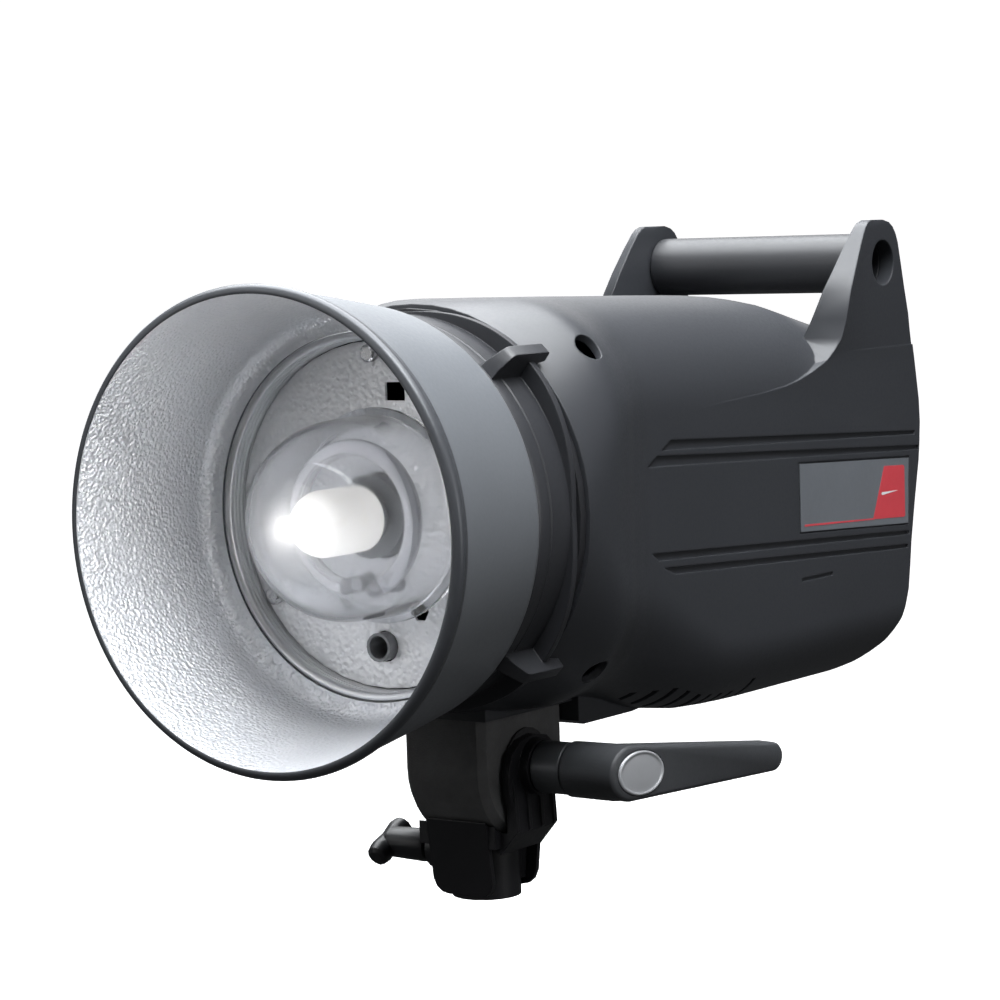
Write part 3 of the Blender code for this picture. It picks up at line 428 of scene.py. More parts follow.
GREY_PAINT = surface("grey_paint", (0.17, 0.18, 0.195), (0.34, 0.44), 0.25, 0.05, 2600.0,
                     0.00003, 0.25, edge=0.0006, patches=14.0)
RIM_PAINT = surface("rim_paint", (0.07, 0.074, 0.082), (0.3, 0.42), 0.2, 0.06, 2400.0,
                    0.00003, 0.25)
PEBBLED = surface("pebbled_inside", (0.7, 0.715, 0.745), (0.34, 0.46), 0.55, 0.05, 700.0,
                  0.0006, 1.0, cells=True, edge=0.0, patches=18.0, scuffs=False)
BARE_RING = surface("satin_ring", (0.66, 0.67, 0.69), (0.28, 0.4), 0.9, 0.06, 900.0,
                    0.00003, 0.3, edge=0.0005)
HAMMERED = surface("hammered_plate", (0.93, 0.935, 0.95), (0.3, 0.44), 0.3, 0.04, 480.0,
                   0.0006, 1.0, cells=True, edge=0.0004, patches=20.0, scuffs=False)
HOUSING = surface("housing_plastic", (0.034, 0.036, 0.041), (0.36, 0.46), 0.0, 0.07, 3000.0,
                  0.000035, 0.35, edge=0.0009, patches=10.0)
HANDLE = surface("handle_rubber", (0.02, 0.021, 0.024), (0.4, 0.52), 0.0, 0.08, 2600.0,
                 0.00004, 0.4, edge=0.0006)
BLACK = surface("black_plastic", (0.02, 0.0205, 0.023), (0.34, 0.48), 0.0, 0.1, 2400.0,
                0.00004, 0.4, edge=0.0006)
RING_BLACK = surface("ring_plastic", (0.03, 0.031, 0.035), (0.34, 0.46), 0.0, 0.08, 2000.0,
                     0.00005, 0.45, edge=0.0007)
SANDED = surface("sanded_casting", (0.1, 0.1, 0.101), (0.42, 0.6), 0.1, 0.22, 1500.0,
                 0.0002, 0.9, edge=0.0007, patches=60.0, specular=0.4)
BRACKET = surface("bracket_plastic", (0.011, 0.011, 0.013), (0.34, 0.46), 0.0, 0.1, 1900.0,
                  0.00005, 0.45, edge=0.0006, specular=0.4)
LEVER = surface("lever_plastic", (0.042, 0.044, 0.048), (0.42, 0.54), 0.0, 0.1, 1700.0,
                0.00008, 0.55, edge=0.0008)
COLLAR = surface("collar_metal", (0.09, 0.094, 0.1), (0.32, 0.44), 0.5, 0.07, 1500.0,
                 0.00003, 0.3, edge=0.0004)
BADGE = surface("badge_metal", (0.5, 0.51, 0.53), (0.34, 0.46), 0.5, 0.06, 1500.0,
                0.00004, 0.35, edge=0.0004)
STEEL = surface("steel", (0.5, 0.5, 0.51), (0.22, 0.36), 1.0, 0.08, 1200.0, 0.00003, 0.3)
DARK_STEEL = surface("dark_screw", (0.02, 0.02, 0.022), (0.3, 0.45), 0.4, 0.1, 1200.0)
BRASS = surface("brass", (0.6, 0.42, 0.17), (0.24, 0.38), 1.0, 0.08, 1200.0)
ALUMINIUM = surface("sheet_aluminium", (0.6, 0.61, 0.62), (0.3, 0.44), 1.0, 0.07, 900.0)
CERAMIC = surface("ceramic", (0.62, 0.6, 0.55), (0.5, 0.66), 0.0, 0.07, 900.0, 0.0001, 0.4)
SOCKET_GREY = surface("lamp_socket", (0.22, 0.225, 0.235), (0.4, 0.55), 0.2, 0.1, 900.0)
RUBBER = surface("rubber", (0.022, 0.022, 0.024), (0.55, 0.72), 0.0, 0.12, 1500.0, 0.0001, 0.5)
LABEL = surface("label_grey", (0.14, 0.15, 0.165), (0.36, 0.46), 0.0, 0.05, 1500.0,
                0.00002, 0.2, edge=0.0002)
LABEL_RED = surface("label_red", (0.6, 0.06, 0.075), (0.34, 0.44), 0.0, 0.06, 1500.0,
                    0.00002, 0.2, edge=0.0)
LABEL_WHITE = surface("label_white", (0.75, 0.75, 0.76), (0.34, 0.44), 0.0, 0.04, 1500.0,
                      0.00002, 0.2, edge=0.0)
RED = surface("red_plastic", (0.42, 0.02, 0.02), (0.26, 0.38), 0.0, 0.08, 1500.0)
SLEEVE = surface("capacitor_sleeve", (0.02, 0.035, 0.08), (0.26, 0.4), 0.0, 0.12, 800.0)
WOUND = surface("wound_core", (0.2, 0.09, 0.03), (0.4, 0.6), 0.1, 0.2, 900.0, 0.0002, 0.6)
BOARD = circuit("circuit_board")
SCREEN = screen("display_glass")
CLEAR = glass("clear_glass", (0.97, 0.98, 1.0), (0.04, 0.18), 0.06)
TUBE = glass("tube_glass", (0.97, 0.97, 1.0), (0.06, 0.2), 0.25)
LAMP = glowing("lamp_glow", (1.0, 0.97, 0.92), 0.5, 0.35)


# ---------------------------------------------------------------- reflector

def arc(cw, cr, radius, start, end, steps):
    return [(cw + radius * math.cos(math.radians(start + (end - start) * i / steps)),
             cr + radius * math.sin(math.radians(start + (end - start) * i / steps)))
            for i in range(steps + 1)]


def bowl():
    inner = [(-134.9, 87.3)]
    for i in range(1, 13):
        t = i / 12.0
        inner.append((-134.6 + 56.6 * t, 86.6 - 8.2 * t - 0.35 * math.sin(math.pi * t)))
    inner += [(-76.0, 78.0), (-74.6, 77.5), (-73.4, 76.8), (-72.5, 75.9), (-71.9, 75.0),
              (-71.4, 74.2), (-71.0, 73.0), (-70.6, 71.4), (-70.5, 70.3)]
    rear = [(-69.3, 70.3), (-69.7, 74.6), (-70.3, 77.0), (-71.2, 78.6), (-72.4, 79.6),
            (-74.0, 80.3)]
    outer = [(-76.0, 80.65)]
    for i in range(1, 11):
        t = i / 10.0
        outer.append((-76.0 - 53.0 * t, 80.65 + 7.55 * t + 0.25 * math.sin(math.pi * t)))
    bead = [(-130.4, 88.5), (-131.2, 89.2)] + arc(-134.0, 87.3, 2.7, 60.0, 200.0, 12)
    profile = inner + rear + outer + bead
    marks = [1] * (len(inner) - 1) + [0] * (len(rear) + len(outer)) + [2] * len(bead) + [1]
    marks = (marks + [2] * len(profile))[:len(profile)]
    obj = revolve("bowl", profile, count=192, slots=marks)
    return place(obj, ["reflector_bowl"], "reflector", [GREY_PAINT, PEBBLED, RIM_PAINT], 40.0)


def collar():
    profile = [(-69.2, 67.0), (-69.8, 67.6), (-70.2, 68.6), (-70.0, 69.6), (-69.4, 70.0),
               (-68.7, 70.1), (-68.7, 74.4), (-67.6, 74.4), (-67.6, 69.0), (-45.0, 69.0),
               (-45.0, 67.0), (-56.0, 67.0)]
    for y in (-58.5, -60.6, -62.7, -64.8, -66.9):
        profile += [(y + 0.7, 67.0), (y + 0.45, 66.55), (y - 0.45, 66.55), (y - 0.7, 67.0)]
    obj = revolve("collar", profile, count=160)
    claws = []
    for k in range(3):
        middle = math.radians(90.0 + 120.0 * k)
        outline = []
        for radius, order in ((68.6, (-2, -1, 0, 1, 2)), (72.2, (2, 1, 0, -1, -2))):
            for s in order:
                a = middle + s * math.radians(4.0)
                outline.append((radius * math.cos(a), AXIS_Z + radius * math.sin(a)))
        claws.append(prism("claw", outline, "y", -50.0, -46.0))
    unite(obj, join(claws))
    return place(obj, ["reflector_collar"], "reflector", [BARE_RING], 30.0)


# y and radius at each corner of a grip lug
LUG_OUTLINE = [(-64.4, 74.4), (-62.8, 79.3), (-59.2, 84.3), (-58.2, 85.4), (-56.8, 86.0),
               (-35.5, 86.0), (-34.8, 85.3), (-34.8, 81.8), (-43.2, 80.6), (-43.2, 74.4)]


def ring_lug(k):
    """Thin radial blade that crosses the fin and reaches back over the housing's edge."""
    a = math.radians(46.0 + 90.0 * k)
    radial = Vector((math.cos(a), 0.0, math.sin(a)))
    across = Vector((-math.sin(a), 0.0, math.cos(a)))
    rings = [[tuple(radial * r + across * s * (11.4 - 0.105 * r) + Vector((0.0, y, AXIS_Z)))
              for y, r in LUG_OUTLINE] for s in (-1.0, 1.0)]
    return loft("lug", rings)


def locking_ring():
    low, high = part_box("locking_ring")
    front, rear = low.y / MM, high.y / MM
    profile = [(front + 0.4, 71.4), (front, 71.9), (front, 73.6), (front + 1.2, 74.8),
               (-64.4, 75.4), (-58.6, 75.4), (-58.3, 75.0), (-57.7, 75.0), (-57.4, 75.4),
               (rear - 0.4, 75.4), (rear, 75.0), (rear, 71.4), (-44.0, 71.4), (-44.0, 73.0),
               (-52.0, 73.0), (-52.0, 71.4)]
    obj = revolve("ring", profile, count=144)
    outer = []
    for i in range(144):
        a = 2.0 * math.pi * i / 144
        radius = 76.2 + 6.1 * abs(math.sin(2.0 * a)) ** 1.5
        outer.append((radius * math.cos(a), AXIS_Z + radius * math.sin(a)))
    fin = prism("fin", outer, "y", -45.6, -42.6)
    cut(fin, cylinder("bore", "y", (0.0, AXIS_Z), 74.6, -47.0, -41.0, 144))
    unite(obj, fin)
    for k in range(4):
        unite(obj, ring_lug(k))
    return place(obj, ["locking_ring"], "ring", [RING_BLACK], 28.0)


# ---------------------------------------------------------------- flash head

def dome():
    outer = [(-61.8, 41.0), (-63.6, 41.0), (-64.4, 40.4), (-65.2, 38.6),
             (DOME_CENTRE_Y, 38.0)]
    inner = [(-61.8, 36.3), (DOME_CENTRE_Y, 36.3)]
    for i in range(1, 37):
        a = math.radians(90.0 * i / 36)
        outer.append((DOME_CENTRE_Y - 38.0 * math.sin(a), 38.0 * math.cos(a) if i < 36 else 0.0))
        inner.append((DOME_CENTRE_Y - 36.3 * math.sin(a), 36.3 * math.cos(a) if i < 36 else 0.0))
    obj = revolve("dome", outer + inner[::-1], count=112)
    return place(obj, ["glass_dome"], "head", [CLEAR], 50.0)


def flash():
    path = []
    gap = math.radians(15.0)
    for y in (-55.0, -60.0, -66.0, -71.0, -74.5):
        path.append((FLASH_R * math.sin(gap), y, AXIS_Z - FLASH_R * math.cos(gap)))
    steps = 84
    for i in range(steps + 1):
        a = -0.5 * math.pi + gap + (2.0 * math.pi - 2.0 * gap) * i / steps
        lift = max(0.0, 1.0 - i / 3.0, 1.0 - (steps - i) / 3.0)
        path.append((FLASH_R * math.cos(a), -78.0 + 1.5 * lift, AXIS_Z + FLASH_R * math.sin(a)))
    for y in (-74.5, -71.0, -66.0, -60.0, -55.0):
        path.append((-FLASH_R * math.sin(gap), y, AXIS_Z - FLASH_R * math.cos(gap)))
    obj = sweep("flash", path, 3.35, 24)
    for polygon in obj.data.polygons:
        if polygon.center.y > -0.068:
            polygon.material_index = 1
    return place(obj, ["flash_tube"], "head", [TUBE, BARE_RING], 50.0)


def lamp():
    profile = [(-109.0, 0.0)]
    profile += [(-97.0 - 12.0 * math.cos(math.radians(6.0 * i)),
                 12.5 * math.sin(math.radians(6.0 * i))) for i in range(1, 16)]
    profile += [(-90.0, 12.5), (-80.0, 12.5), (-76.0, 12.4), (-73.8, 11.8), (-72.2, 10.8),
                (-71.0, 9.4), (-70.4, 9.0), (-56.0, 9.0), (-54.0, 4.0), (-54.0, 0.0)]
    marks = [1 if w > -78.5 else 0 for w, _ in profile]
    obj = revolve("lamp", profile, count=64, slots=marks)
    return place(obj, ["modelling_lamp"], "head", [LAMP, SOCKET_GREY], 45.0)


# ---------------------------------------------------------------- housing

# y, half width, top z, bottom z, top corner radius, bottom corner radius
SECTIONS = [
    (FRONT_Y, 79.0, 236.0, 78.0, 78.4, 78.4), (-22.0, 78.3, 236.9, 77.2, 66.0, 66.0),
    (-6.0, 74.6, 237.0, 76.6, 52.0, 52.0), (20.0, 63.8, 236.5, 75.6, 48.0, 48.0),
    (32.0, 60.6, 236.2, 74.6, 47.0, 47.0), (45.0, SIDE_X, 235.8, 72.0, 47.0, 46.0),
    (65.0, SIDE_X, 235.2, 67.0, 46.5, 40.0), (95.0, SIDE_X, 234.3, 63.0, 46.0, 31.0),
    (140.0, SIDE_X, 232.6, 62.0, 46.0, 30.0), (175.0, SIDE_X, 229.0, 62.0, 46.0, 30.0),
    (205.0, SIDE_X, 222.5, 62.0, 46.0, 30.0), (245.0, SIDE_X, 213.5, 62.0, 46.0, 30.0),
    (290.0, SIDE_X, 202.0, 62.0, 46.0, 30.0),
]


def slopes(column):
    """Monotone tangents, so that the skin passes through its sections without waves."""
    ys = [row[0] for row in SECTIONS]
    vs = [row[column] for row in SECTIONS]
    secant = [(vs[i + 1] - vs[i]) / (ys[i + 1] - ys[i]) for i in range(len(ys) - 1)]
    out = [secant[0]]
    for i in range(1, len(secant)):
        a, b = secant[i - 1], secant[i]
        out.append(0.0 if a * b <= 0.0 else 2.0 * a * b / (a + b))
    return out + [secant[-1]]


TANGENTS = [slopes(c) for c in range(1, 6)]


def section_at(y):
    i = 0
    while i < len(SECTIONS) - 2 and y > SECTIONS[i + 1][0]:
        i += 1
    span = SECTIONS[i + 1][0] - SECTIONS[i][0]
    t = (y - SECTIONS[i][0]) / span
    a, b = 2 * t ** 3 - 3 * t ** 2 + 1, t ** 3 - 2 * t ** 2 + t
    c, d = -2 * t ** 3 + 3 * t ** 2, t ** 3 - t ** 2
    return [a * SECTIONS[i][c0 + 1] + b * span * TANGENTS[c0][i]
            + c * SECTIONS[i + 1][c0 + 1] + d * span * TANGENTS[c0][i + 1] for c0 in range(5)]


def skin(name, inset, first, last, steps):
    ys = [FRONT_Y, -36.0, -33.0, -29.0, -25.0, -21.0, -17.0, -13.0, -9.0, -5.0, -1.0, 3.0, 7.0,
          11.0, 15.0, 19.0, 23.0, 27.0, 31.0, 35.0, 40.0, 46.0, 54.0, 64.0, 76.0, 90.0, 105.0,
          120.0, 135.0, 150.0, 165.0, 180.0, 195.0, 210.0, 225.0, 240.0, 255.0, 270.0, 290.0]
    rings = []
    for y in ys:
        half, top, bottom, r_top, r_bottom = section_at(y)
        half, top, bottom = half - inset, top - inset, bottom + inset
        r_top, r_bottom = max(r_top - inset, 4.0), max(r_bottom - inset, 4.0)
        where = first if y == ys[0] else last if y == ys[-1] else y
        ring = []
        for cx, cz, radius, start in ((half - r_top, top - r_top, r_top, 0.0),
                                      (-half + r_top, top - r_top, r_top, 90.0),
                                      (-half + r_bottom, bottom + r_bottom, r_bottom, 180.0),
                                      (half - r_bottom, bottom + r_bottom, r_bottom, 270.0)):
            for i in range(steps + 1):
                a = math.radians(start + 90.0 * i / steps)
                ring.append((cx + radius * math.cos(a), where, cz + radius * math.sin(a)))
        rings.append(ring)
    return loft(name, rings)


REAR_EDGE = [(246.5, 253.0), (250.5, 235.0), (255.5, 217.0), (259.5, 199.0), (263.0, 181.0),
             (263.8, 171.0), (261.5, 154.0), (257.0, 136.0), (253.0, 118.0), (251.5, 108.0),
             (249.5, 97.0), (244.0, 84.0), (236.0, 75.0), (222.0, 67.0), (203.0, 61.6)]

# Height, inner front edge (x, y), outer front edge (x, y) and rear edge y of each horn
HORN_LEVELS = [
    (199.0, 46.0, 168.0, 60.15, 172.0, 258.4), (203.0, 46.6, 171.6, 60.3, 179.0, 257.6),
    (207.0, 47.2, 175.0, 60.7, 185.2, 256.8), (212.0, 48.8, 178.5, 61.6, 190.0, 255.8),
    (220.0, 51.2, 182.0, 62.7, 192.6, 254.6), (232.0, 54.0, 187.5, 63.6, 195.4, 251.2),
    (241.4, 54.8, 196.0, 62.7, 201.8, 248.8), (252.0, 55.2, 206.0, 61.3, 209.8, 246.0),
    (256.0, 55.4, 210.2, 60.7, 213.2, 244.0), (259.0, 55.5, 213.4, 60.4, 215.8, 241.4),
    (261.0, 55.6, 216.4, 60.1, 218.4, 238.0), (262.2, 55.9, 220.4, 59.7, 222.0, 232.8),
]


def horn(side):
    """Shoulder ledge along the side and the horn that rises from it."""
    outline = [(259.2, 200.0), (262.8, 181.2), (263.4, 171.0), (262.6, 162.8), (245.0, 166.5),
               (205.0, 175.5), (180.0, 180.0), (60.0, 180.0), (71.0, 189.0), (95.0, 190.8),
               (120.0, 192.0), (143.0, 194.0), (155.0, 196.0), (165.0, 198.5), (175.0, 201.6),
               (183.0, 204.4), (190.0, 206.0), (257.8, 206.2)]
    low, high = sorted((side * (SIDE_X - 12.0), side * (SIDE_X - 0.02)))
    plate = prism("plate", outline, "x", low, high)
    rings = []
    for z, x_in, y_in, x_out, y_out, y_rear in HORN_LEVELS:
        x_rear = min(x_out, 60.1)
        y_mid = y_out + 0.4 * (y_rear - y_out)
        rings.append([(side * x_in, y_in, z), (side * x_out, y_out, z),
                      (side * x_rear, y_mid, z), (side * x_rear, y_rear, z),
                      (side * 53.1, y_rear, z), (side * 53.1, y_mid, z)])
    return unite(plate, loft("horn", rings))


GROOVES = [
    ((50.6, 178.1), (258.0, 167.3), (258.0, 165.8), (43.5, 174.4)),
    ((39.7, 172.5), (261.5, 160.5), (261.5, 158.6), (32.5, 168.6)),
    ((34.0, 134.4), (251.0, 122.9), (251.0, 121.2), (39.5, 131.0)),
    ((43.0, 127.9), (249.5, 116.9), (249.5, 115.3), (52.0, 124.5)),
]


def housing():
    shell = skin("housing", 0.0, FRONT_Y, 290.0, 14)
    outline = [(-60.0, 300.0), (246.5, 300.0)] + REAR_EDGE + [(180.0, 55.0), (-60.0, 40.0)]
    combine(shell, [prism("side_profile", outline, "x", -100.0, 100.0)], "INTERSECT")
    for side in (-1, 1):
        unite(shell, horn(side))
    keel = [(30.5, 80.0), (30.5, 66.5), (34.0, 64.8), (70.0, 64.8), (104.0, 68.0),
            (104.0, 80.0)]
    unite(shell, prism("keel", keel, "x", -26.0, 26.0))
    unite(shell, box("pad", (-23.0, 23.0), (-30.0, 33.0), (74.5, 84.0)))
    inner = skin("inner", WALL, -45.0, 300.0, 8)
    hollow = [(-60.0, 300.0), (310.0, 300.0), (310.0, 104.0), (247.4, 104.0), (246.0, 97.0),
              (240.8, 86.5), (233.0, 78.2), (220.5, 70.6), (203.0, 65.2), (180.0, 58.5),
              (-60.0, 43.0)]
    combine(inner, [prism("inner_profile", hollow, "x", -90.0, 90.0)], "INTERSECT")
    cut(shell, inner)
    cut(shell, cylinder("handle_hole", "x", HANDLE_CENTRE, HANDLE_BORE_R, -70.0, 70.0, 64))
    seats, marks = [], []
    for side in (-1, 1):
        for groove in GROOVES:
            low, high = sorted((side * (SIDE_X - 1.0), side * (SIDE_X + 8.0)))
            marks.append(prism("groove", list(groove), "x", low, high))
        low, high = sorted((side * (SIDE_X - 0.7), side * (SIDE_X + 3.0)))
        seat = [(152.2, 161.2), (152.2, 130.9), (250.8, 125.6), (252.2, 156.4)]
        seats.append(prism("label_seat", seat, "x", low, high))
        seats.append(box("side_slot", (low, high), (153.0, 180.0), (110.4, 111.8)))
        for k in range(8):
            y = 52.0 + 8.6 * k
            low, high = sorted((side * 30.0, side * 48.0))
            marks.append(box("vent", (low, high), (y, y + 2.6), (50.0, 75.5)))
        low, high = sorted((side * 27.0, side * 53.0))
        marks.append(box("long_vent", (low, high), (122.0, 124.6), (50.0, 77.0)))
    cut(shell, join(marks))
    cut(shell, join(seats))
    bosses, bores = [], []
    for x, y, z in ((55.8, -11.5, 54.6), (54.6, -10.0, -58.0), (-55.8, -11.5, 54.6),
                    (-54.6, -10.0, -58.0)):
        direction = (Vector((x, 0.0, z)).normalized() + Vector((0.0, 0.2, 0.0))).normalized()
        seat = Vector((x, y, AXIS_Z + z))
        bosses.append(aimed_cylinder("boss", seat - direction * 5.0, seat + direction * 3.6,
                                     8.6, 32))
        bores.append(aimed_cylinder("bore", seat - direction * 2.2, seat + direction * 18.0,
                                    6.1, 40))
    unite(shell, join(bosses))
    cut(shell, join(bores))
    return place(shell, ["main_housing"], "head", [HOUSING], 24.0)


def handle():
    half = 52.8
    profile = [(-half, HANDLE_BORE_R), (-half, HANDLE_R - 0.6), (-half + 0.6, HANDLE_R),
               (-half + 2.0, HANDLE_R), (half - 2.0, HANDLE_R), (half - 0.6, HANDLE_R),
               (half, HANDLE_R - 0.6), (half, HANDLE_BORE_R)]
    obj = revolve("handle", profile, "x", HANDLE_CENTRE, 96)
    return place(obj, ["handle_tube"], "head", [HANDLE], 30.0)


def label(node, side):
    """Grey plate with a red slanted field, a red line and a pale dash, all without lettering."""
    tl, tr, br, bl = (153.0, 160.4), (251.4, 155.6), (250.0, 126.4), (153.0, 131.6)

    def at(s, t):
        top = [tl[i] + (tr[i] - tl[i]) * s for i in (0, 1)]
        low = [bl[i] + (br[i] - bl[i]) * s for i in (0, 1)]
        return tuple(top[i] + (low[i] - top[i]) * t for i in (0, 1))

    def layer(points, low, high):
        a, b = sorted((side * (SIDE_X + low), side * (SIDE_X + high)))
        return prism("layer", [at(s, t) for s, t in points], "x", a, b)

    base = layer([(0, 0), (1, 0), (1, 1), (0, 1)], -0.3, 0.18)
    red = layer([(0.763, 0.105), (0.945, 0.105), (0.957, 0.13), (0.967, 0.88), (0.955, 0.9),
                 (0.658, 0.9)], 0.1, 0.24)
    line = layer([(0.03, 0.895), (0.67, 0.885), (0.67, 0.905), (0.03, 0.925)], 0.1, 0.235)
    dash = layer([(0.745, 0.5), (0.9, 0.485), (0.745, 0.545), (0.735, 0.525)], 0.2, 0.28)
    counts = [len(o.data.polygons) for o in (base, red, line, dash)]
    obj = join([base, red, line, dash])
    total = 0
    for index, count in zip((0, 1, 1, 2), counts):
        for k in range(total, total + count):
            obj.data.polygons[k].material_index = index
        total += count
    return place(obj, [node], "head", [LABEL, LABEL_RED, LABEL_WHITE], 30.0)


# ---------------------------------------------------------------- lever

def lever_point(along, up, depth):
    """Point on the arm: distance along it, height across it, depth below its outer face."""
    forward = Vector((math.sin(LEVER_OUT), math.cos(LEVER_OUT) * math.cos(LEVER_DROP),
                      -math.cos(LEVER_OUT) * math.sin(LEVER_DROP)))
    normal = Vector((math.cos(LEVER_OUT), -math.sin(LEVER_OUT), 0.0))
    rise = normal.cross(forward)
    start = Vector((LEVER_HUB_X, PIVOT_Y, PIVOT_Z))
    return tuple(start + forward * along + rise * up - normal * depth)


def lever():
    profile = [(42.0, 5.3), (42.0, 9.8), (42.4, 10.5), (43.2, 11.0), (62.0, 11.2), (65.0, 10.9),
               (66.5, 10.4), (66.5, 0.0), (56.0, 0.0), (56.0, 5.3)]
    hub = revolve("hub", profile, "x", (PIVOT_Y, PIVOT_Z), 64)
    rings = []
    for depth, inset in ((0.0, 1.5), (0.35, 0.75), (1.0, 0.2), (1.8, 0.0), (9.0, 0.0),
                         (10.4, 0.6), (11.5, 2.0)):
        ring = []
        for i in range(25):
            a = math.radians(90.0 + 180.0 * i / 24)
            ring.append(lever_point((12.6 - inset) * math.cos(a), (11.0 - inset) * math.sin(a),
                                    depth))
        for i in range(17):
            a = math.radians(-90.0 + 180.0 * i / 16)
            ring.append(lever_point(86.5 + (6.0 - inset) * math.cos(a),
                                    (6.0 - inset) * math.sin(a), depth))
        rings.append(ring)
    unite(hub, loft("arm", rings))
    seat = [[lever_point(4.6 + 13.6 * math.cos(math.radians(7.5 * i)),
                         9.0 * math.sin(math.radians(7.5 * i)), depth) for i in range(48)]
            for depth in (0.9, -2.0)]
    cut(hub, loft("seat", seat))
    return place(hub, ["lever_arm"], "lever", [LEVER], 26.0)


def badge():
    rings = []
    for depth, scale in ((0.6, 1.0), (-0.2, 1.0), (-0.5, 0.975), (-0.66, 0.94), (-0.6, 0.9),
                         (-0.35, 0.87), (-0.3, 0.84), (-0.42, 0.7), (-0.52, 0.5), (-0.58, 0.25)):
        rings.append([lever_point(4.6 + 13.3 * scale * math.cos(math.radians(6.0 * i)),
                                  8.7 * scale * math.sin(math.radians(6.0 * i)), depth)
                      for i in range(60)])
    return place(loft("badge", rings), ["lever_badge"], "lever", [BADGE], 40.0)


def lever_sleeve():
    profile = [(28.7, 5.3), (28.7, 9.9), (29.1, 10.3), (41.3, 10.3), (41.7, 9.9), (41.7, 5.3)]
    obj = revolve("sleeve", profile, "x", (PIVOT_Y, PIVOT_Z), 72)
    return place(obj, ["lever_collar"], "lever", [COLLAR], 30.0)


# ---------------------------------------------------------------- the rest of the CAD nodes

FINISH = {
    "front_mount": BLACK, "base_plate": HAMMERED, "flash_socket": CERAMIC,
    "lamp_socket": SOCKET_GREY, "umbrella_tube": SOCKET_GREY, "chassis": ALUMINIUM,
    "capacitor_1": SLEEVE, "capacitor_2": SLEEVE, "power_board": BOARD,
    "trigger_transformer": WOUND, "control_board": BOARD, "fan_frame": BLACK,
    "fan_rotor": RUBBER, "rear_panel": BLACK, "display_window": SCREEN, "dial_bush": STEEL,
    "dial_knob": RUBBER, "rocker_bezel": BLACK, "power_rocker": RED, "power_inlet": BLACK,
    "fuse_holder": BLACK, "fuse_cap": RING_BLACK, "sync_jack": BRASS, "photocell": RED,
    "tilt_ear": SANDED, "stand_bracket": BRACKET, "friction_disc_right": RUBBER,
    "friction_disc_left": RUBBER, "pivot_bolt": STEEL, "pivot_nut": STEEL,
    "clamp_pad": BRASS, "clamp_knob": BRACKET,
}
for number in range(1, 5):
    FINISH["front_screw_%d" % number] = DARK_STEEL
    FINISH["push_button_%d" % number] = HOUSING
for number in range(1, 4):
    FINISH["plate_screw_%d" % number] = STEEL

bowl()
collar()
locking_ring()
dome()
flash()
lamp()
housing()
handle()
label("label_plate_right", 1)
label("label_plate_left", -1)
lever()
badge()
lever_sleeve()

SMOOTH = smoothing_group()
for node_name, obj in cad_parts.items():
    if node_name not in FINISH:
        continue
    obj.data.materials.clear()
    obj.data.materials.append(FINISH[node_name])
    weld = obj.modifiers.new("weld", "WELD")
    weld.merge_threshold = 0.000002
    obj.modifiers.new("smooth", "NODES").node_group = SMOOTH


# ---------------------------------------------------------------- studio

def stage_sheet(name, verts, faces, material):
    """Sheet of the studio that the camera sees and diffuse and glossy rays pass by."""
    mesh = bpy.data.meshes.new(name)
    mesh.from_pydata(verts, [], faces)
    mesh.materials.append(material)
    obj = bpy.data.objects.new(name, mesh)
    bpy.context.scene.collection.objects.link(obj)
    obj.visible_diffuse = False
    obj.visible_glossy = False
    return obj


def floor():
    size, z = 9.0, -0.32
    material, tree, shader, coords = shade_nodes("pale_floor")
    patch = noise(tree, coords, 3.0)
    tree.links.new(ramp(tree, patch, [(0.3, (0.86, 0.86, 0.865)), (0.7, (0.9, 0.9, 0.9))]),
                   shader.inputs["Base Color"])
    tree.links.new(spread(tree, noise(tree, coords, 40.0), 0.6, 0.8), shader.inputs["Roughness"])
    shader.inputs["Emission Color"].default_value = (1.0, 1.0, 1.0, 1.0)
    shader.inputs["Emission Strength"].default_value = 1.0
    corners = [(-size, -size, z), (size, -size, z), (size, size, z), (-size, size, z)]
    stage_sheet("studio_floor", corners, [(0, 1, 2, 3)], material)


def bright_card():
    material, tree, shader, coords = shade_nodes("backdrop_card")
    patch = noise(tree, coords, 1.5)
    tree.links.new(ramp(tree, patch, [(0.3, (0.99, 0.99, 0.99)), (0.7, (1.0, 1.0, 1.0))]),
                   shader.inputs["Emission Color"])
    shader.inputs["Emission Strength"].default_value = 1.0
    shader.inputs["Roughness"].default_value = 0.9
    return material


def backdrop():
    """Bright card behind the strobe, mirrored in glancing surfaces, and a pale wall all round."""
    card = bright_card()
    corners = [(-8.0, 6.0, -0.4), (-1.8, 6.0, -0.4), (-1.8, 6.0, 5.0), (-8.0, 6.0, 5.0)]
    front = stage_sheet("backdrop", corners, [(0, 1, 2, 3)], card)
    front.visible_glossy = True
    verts, faces = [], []
    radius, foot, top, count = 9.0, -2.0, 9.0, 32
    for i in range(count):
        a = 2.0 * math.pi * i / count
        verts += [(radius * math.cos(a), radius * math.sin(a), foot),
                  (radius * math.cos(a), radius * math.sin(a), top)]
        j = (i + 1) % count
        faces.append((2 * i, 2 * j, 2 * j + 1, 2 * i + 1))
    wall = stage_sheet("studio_wall", verts, faces, card)
    for obj in (front, wall):
        obj.visible_transmission = False
        obj.visible_shadow = False


COOL_WHITE = (0.95, 0.975, 1.0)


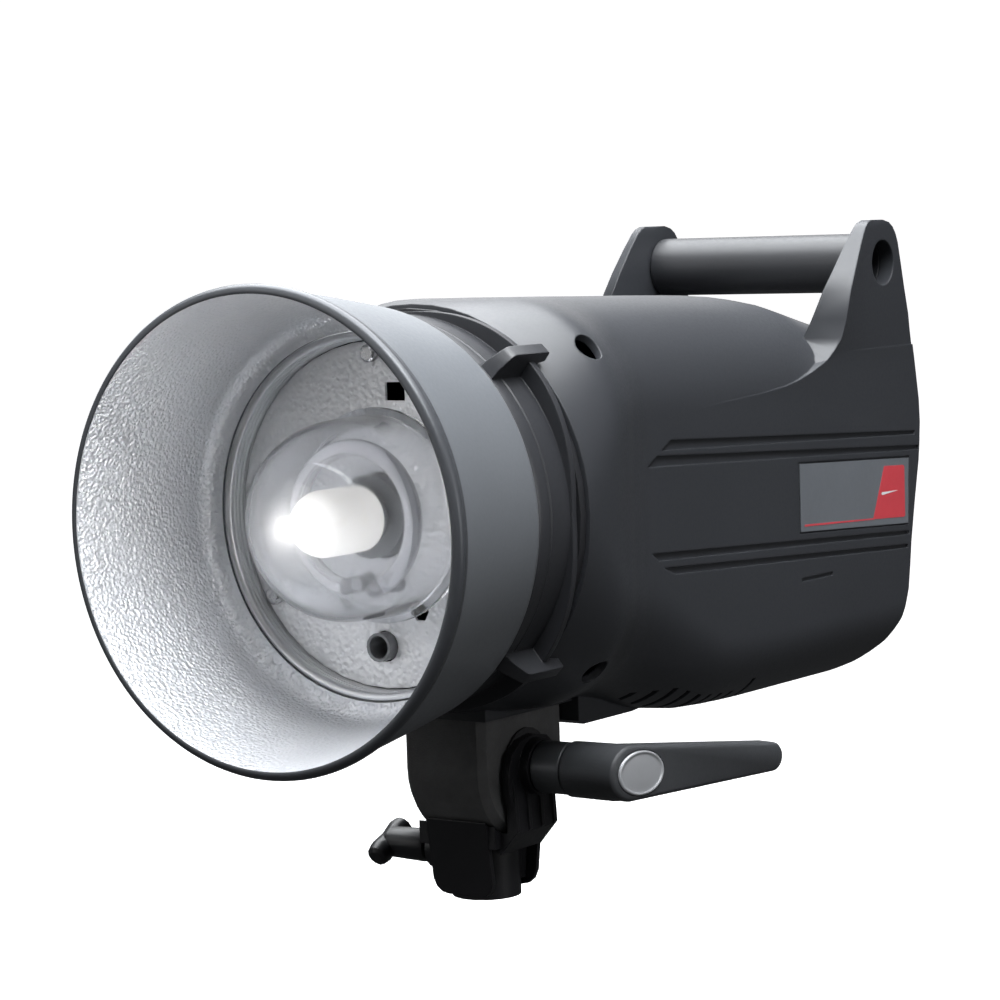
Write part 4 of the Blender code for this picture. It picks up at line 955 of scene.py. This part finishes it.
def softbox(name, where, target, size, power, colour=(1.0, 1.0, 1.0)):
    data = bpy.data.lights.new(name, "AREA")
    data.shape = "RECTANGLE"
    data.size, data.size_y = size
    data.energy = power
    data.color = colour
    obj = bpy.data.objects.new(name, data)
    bpy.context.scene.collection.objects.link(obj)
    obj.location = where
    aim = Vector(target) - Vector(where)
    obj.rotation_euler = aim.to_track_quat("-Z", "Y").to_euler()


def studio():
    floor()
    backdrop()
    world = bpy.data.worlds.new("studio")
    bpy.context.scene.world = world
    world.use_nodes = True
    background = world.node_tree.nodes["Background"]
    background.inputs["Color"].default_value = (0.95, 0.97, 1.0, 1.0)
    background.inputs["Strength"].default_value = 0.06
    softbox("overhead", (-0.2, 0.15, 1.4), (0.0, 0.1, 0.15), (1.6, 2.1), 95.0, COOL_WHITE)
    softbox("upper_right", (0.8, -0.5, 1.5), (0.05, 0.1, 0.2), (0.7, 0.7), 24.0, COOL_WHITE)
    softbox("front_left", (-0.8, -1.4, 0.7), (0.0, -0.1, 0.15), (1.0, 1.2), 5.5)
    softbox("side_strip", (1.6, 0.2, 0.35), (0.0, 0.05, 0.12), (0.5, 0.8), 4.0)
    softbox("front_fill", (0.5, -1.6, 0.1), (0.0, -0.1, 0.12), (0.6, 0.6), 0.3)
    bulb = bpy.data.lights.new("bulb", "POINT")
    bulb.energy = 0.14
    bulb.color = (1.0, 0.97, 0.94)
    bulb.shadow_soft_size = 0.012
    obj = bpy.data.objects.new("bulb", bulb)
    bpy.context.scene.collection.objects.link(obj)
    obj.location = (0.0, -0.1235, 0.157)
    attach(obj, "head")


def camera():
    data = bpy.data.cameras.new("camera")
    data.lens = 115.2
    data.sensor_width = 36.0
    data.clip_start = 0.05
    obj = bpy.data.objects.new("camera", data)
    bpy.context.scene.collection.objects.link(obj)
    right = Vector((0.8211, 0.5698, -0.0311))
    up = Vector((-0.0234, 0.0880, 0.9958))
    back = Vector((0.5702, -0.8170, 0.0856))
    spot = Vector((0.72783, -1.02533, 0.26503))
    obj.matrix_world = Matrix(((right.x, up.x, back.x, spot.x), (right.y, up.y, back.y, spot.y),
                               (right.z, up.z, back.z, spot.z), (0.0, 0.0, 0.0, 1.0)))
    bpy.context.scene.camera = obj


studio()
camera()
bpy.context.scene.view_settings.view_transform = "Standard"
